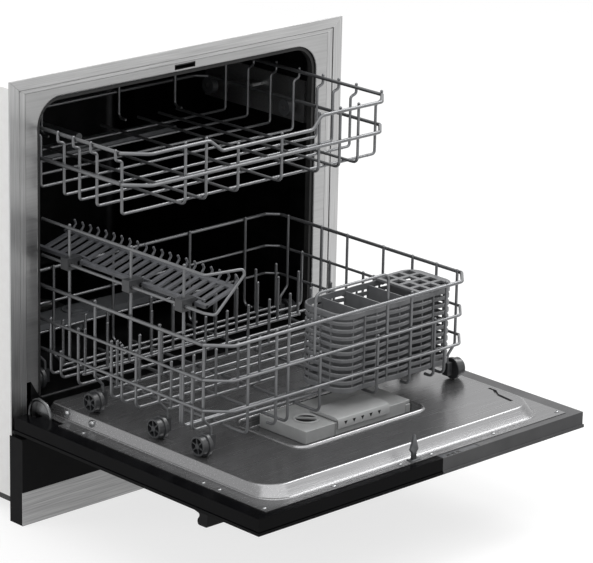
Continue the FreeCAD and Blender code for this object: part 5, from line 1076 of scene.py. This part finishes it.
# Floor, light and camera
# The machine stands on a plain pale floor in a white studio, lit by large soft panels. The camera
# stands to the left of it and a little above, with a long lens.
def direct(tree):
    """One where the camera sees a surface itself, in a mirror or through glass, and nought elsewhere."""
    seen = add(tree, "ShaderNodeLightPath").outputs
    shown = seen["Is Camera Ray"]
    for word in ("Is Glossy Ray", "Is Transmission Ray"):
        shown = add(tree, "ShaderNodeMath", {0: shown, 1: seen[word]}, operation="MAXIMUM").outputs[0]
    return shown


white, floor_size, floor_glow = (1, 1, 1, 1), 12.0, 0.74
floor_mesh = bpy.data.meshes.new("studio_floor")
floor_mesh.from_pydata([(x, y, 0.0) for x, y in ((-1, -1), (1, -1), (1, 1), (-1, 1))], [], [(0, 1, 2, 3)])
floor_mesh.transform(Matrix.Scale(floor_size, 4))
studio_floor = bpy.data.objects.new("studio_floor", floor_mesh)
bpy.context.scene.collection.objects.link(studio_floor)
pale, tree, shader = surface("studio_floor_pale", Roughness=0.9)
shader.inputs["Base Color"].default_value = colour("#8e8e8e")
shader.inputs["Emission Color"].default_value = white
lift = add(tree, "ShaderNodeMath", {0: direct(tree), 1: floor_glow}, operation="MULTIPLY").outputs[0]
tree.links.new(lift, shader.inputs["Emission Strength"])
floor_mesh.materials.append(pale)

world = bpy.data.worlds.new("studio")
bpy.context.scene.world = world
world.use_nodes = True
tree = world.node_tree
ground = tree.nodes["Background"]
shade = add(tree, "ShaderNodeMix", {"Factor": direct(tree), 6: colour("#bebebe"), 7: white},
            data_type="RGBA").outputs[2]
tree.links.new(shade, ground.inputs["Color"])
ground.inputs["Strength"].default_value = 1.0


def panel(name, place, aim, width, height, power):
    """A soft light panel that faces a point. Places are in metres."""
    light = bpy.data.lights.new(name, "AREA")
    light.shape, light.size, light.size_y, light.energy = "RECTANGLE", width, height, power
    made = bpy.data.objects.new(name, light)
    made.location = place
    made.rotation_euler = (Vector(aim) - Vector(place)).to_track_quat("-Z", "Y").to_euler()
    bpy.context.scene.collection.objects.link(made)
    return made


middle = (0.0, -0.15, 0.3)
panel("panel_above", (-0.3, -0.9, 2.8), middle, 3.4, 2.6, 40.0)
panel("panel_right", (2.1, -0.3, 2.45), middle, 1.2, 1.2, 40.0)
panel("panel_front_right", (1.7, -1.7, 1.9), middle, 2.0, 2.0, 8.0)
panel("panel_left", (-3.0, -0.9, 1.3), middle, 2.2, 2.2, 10.0)
side_light = panel("panel_behind_left", (-2.6, 1.7, 0.9), (-0.3, 0.25, 0.3), 1.4, 1.4, 27.0)
side_light.visible_glossy = False

spot, yaw, pitch, roll = (-2.85388, -3.20198, 1.65747), -43.822, 17.831, 1.205
turn, tilt, lean = (math.radians(value) for value in (yaw, pitch, roll))
away = Vector((math.sin(turn) * math.cos(tilt), -math.cos(turn) * math.cos(tilt), math.sin(tilt)))
across = Vector((0, 0, 1)).cross(away).normalized()
upright = away.cross(across)
level = math.cos(lean) * across + math.sin(lean) * upright
plumb = -math.sin(lean) * across + math.cos(lean) * upright
lens = bpy.data.cameras.new("camera")
lens.lens, lens.sensor_width = 199.74, 36.0
camera = bpy.data.objects.new("camera", lens)
camera.matrix_world = Matrix.Translation(spot) @ Matrix((level, plumb, away)).transposed().to_4x4()
bpy.context.scene.collection.objects.link(camera)
bpy.context.scene.camera = camera
bpy.context.scene.view_settings.view_transform = "Standard"
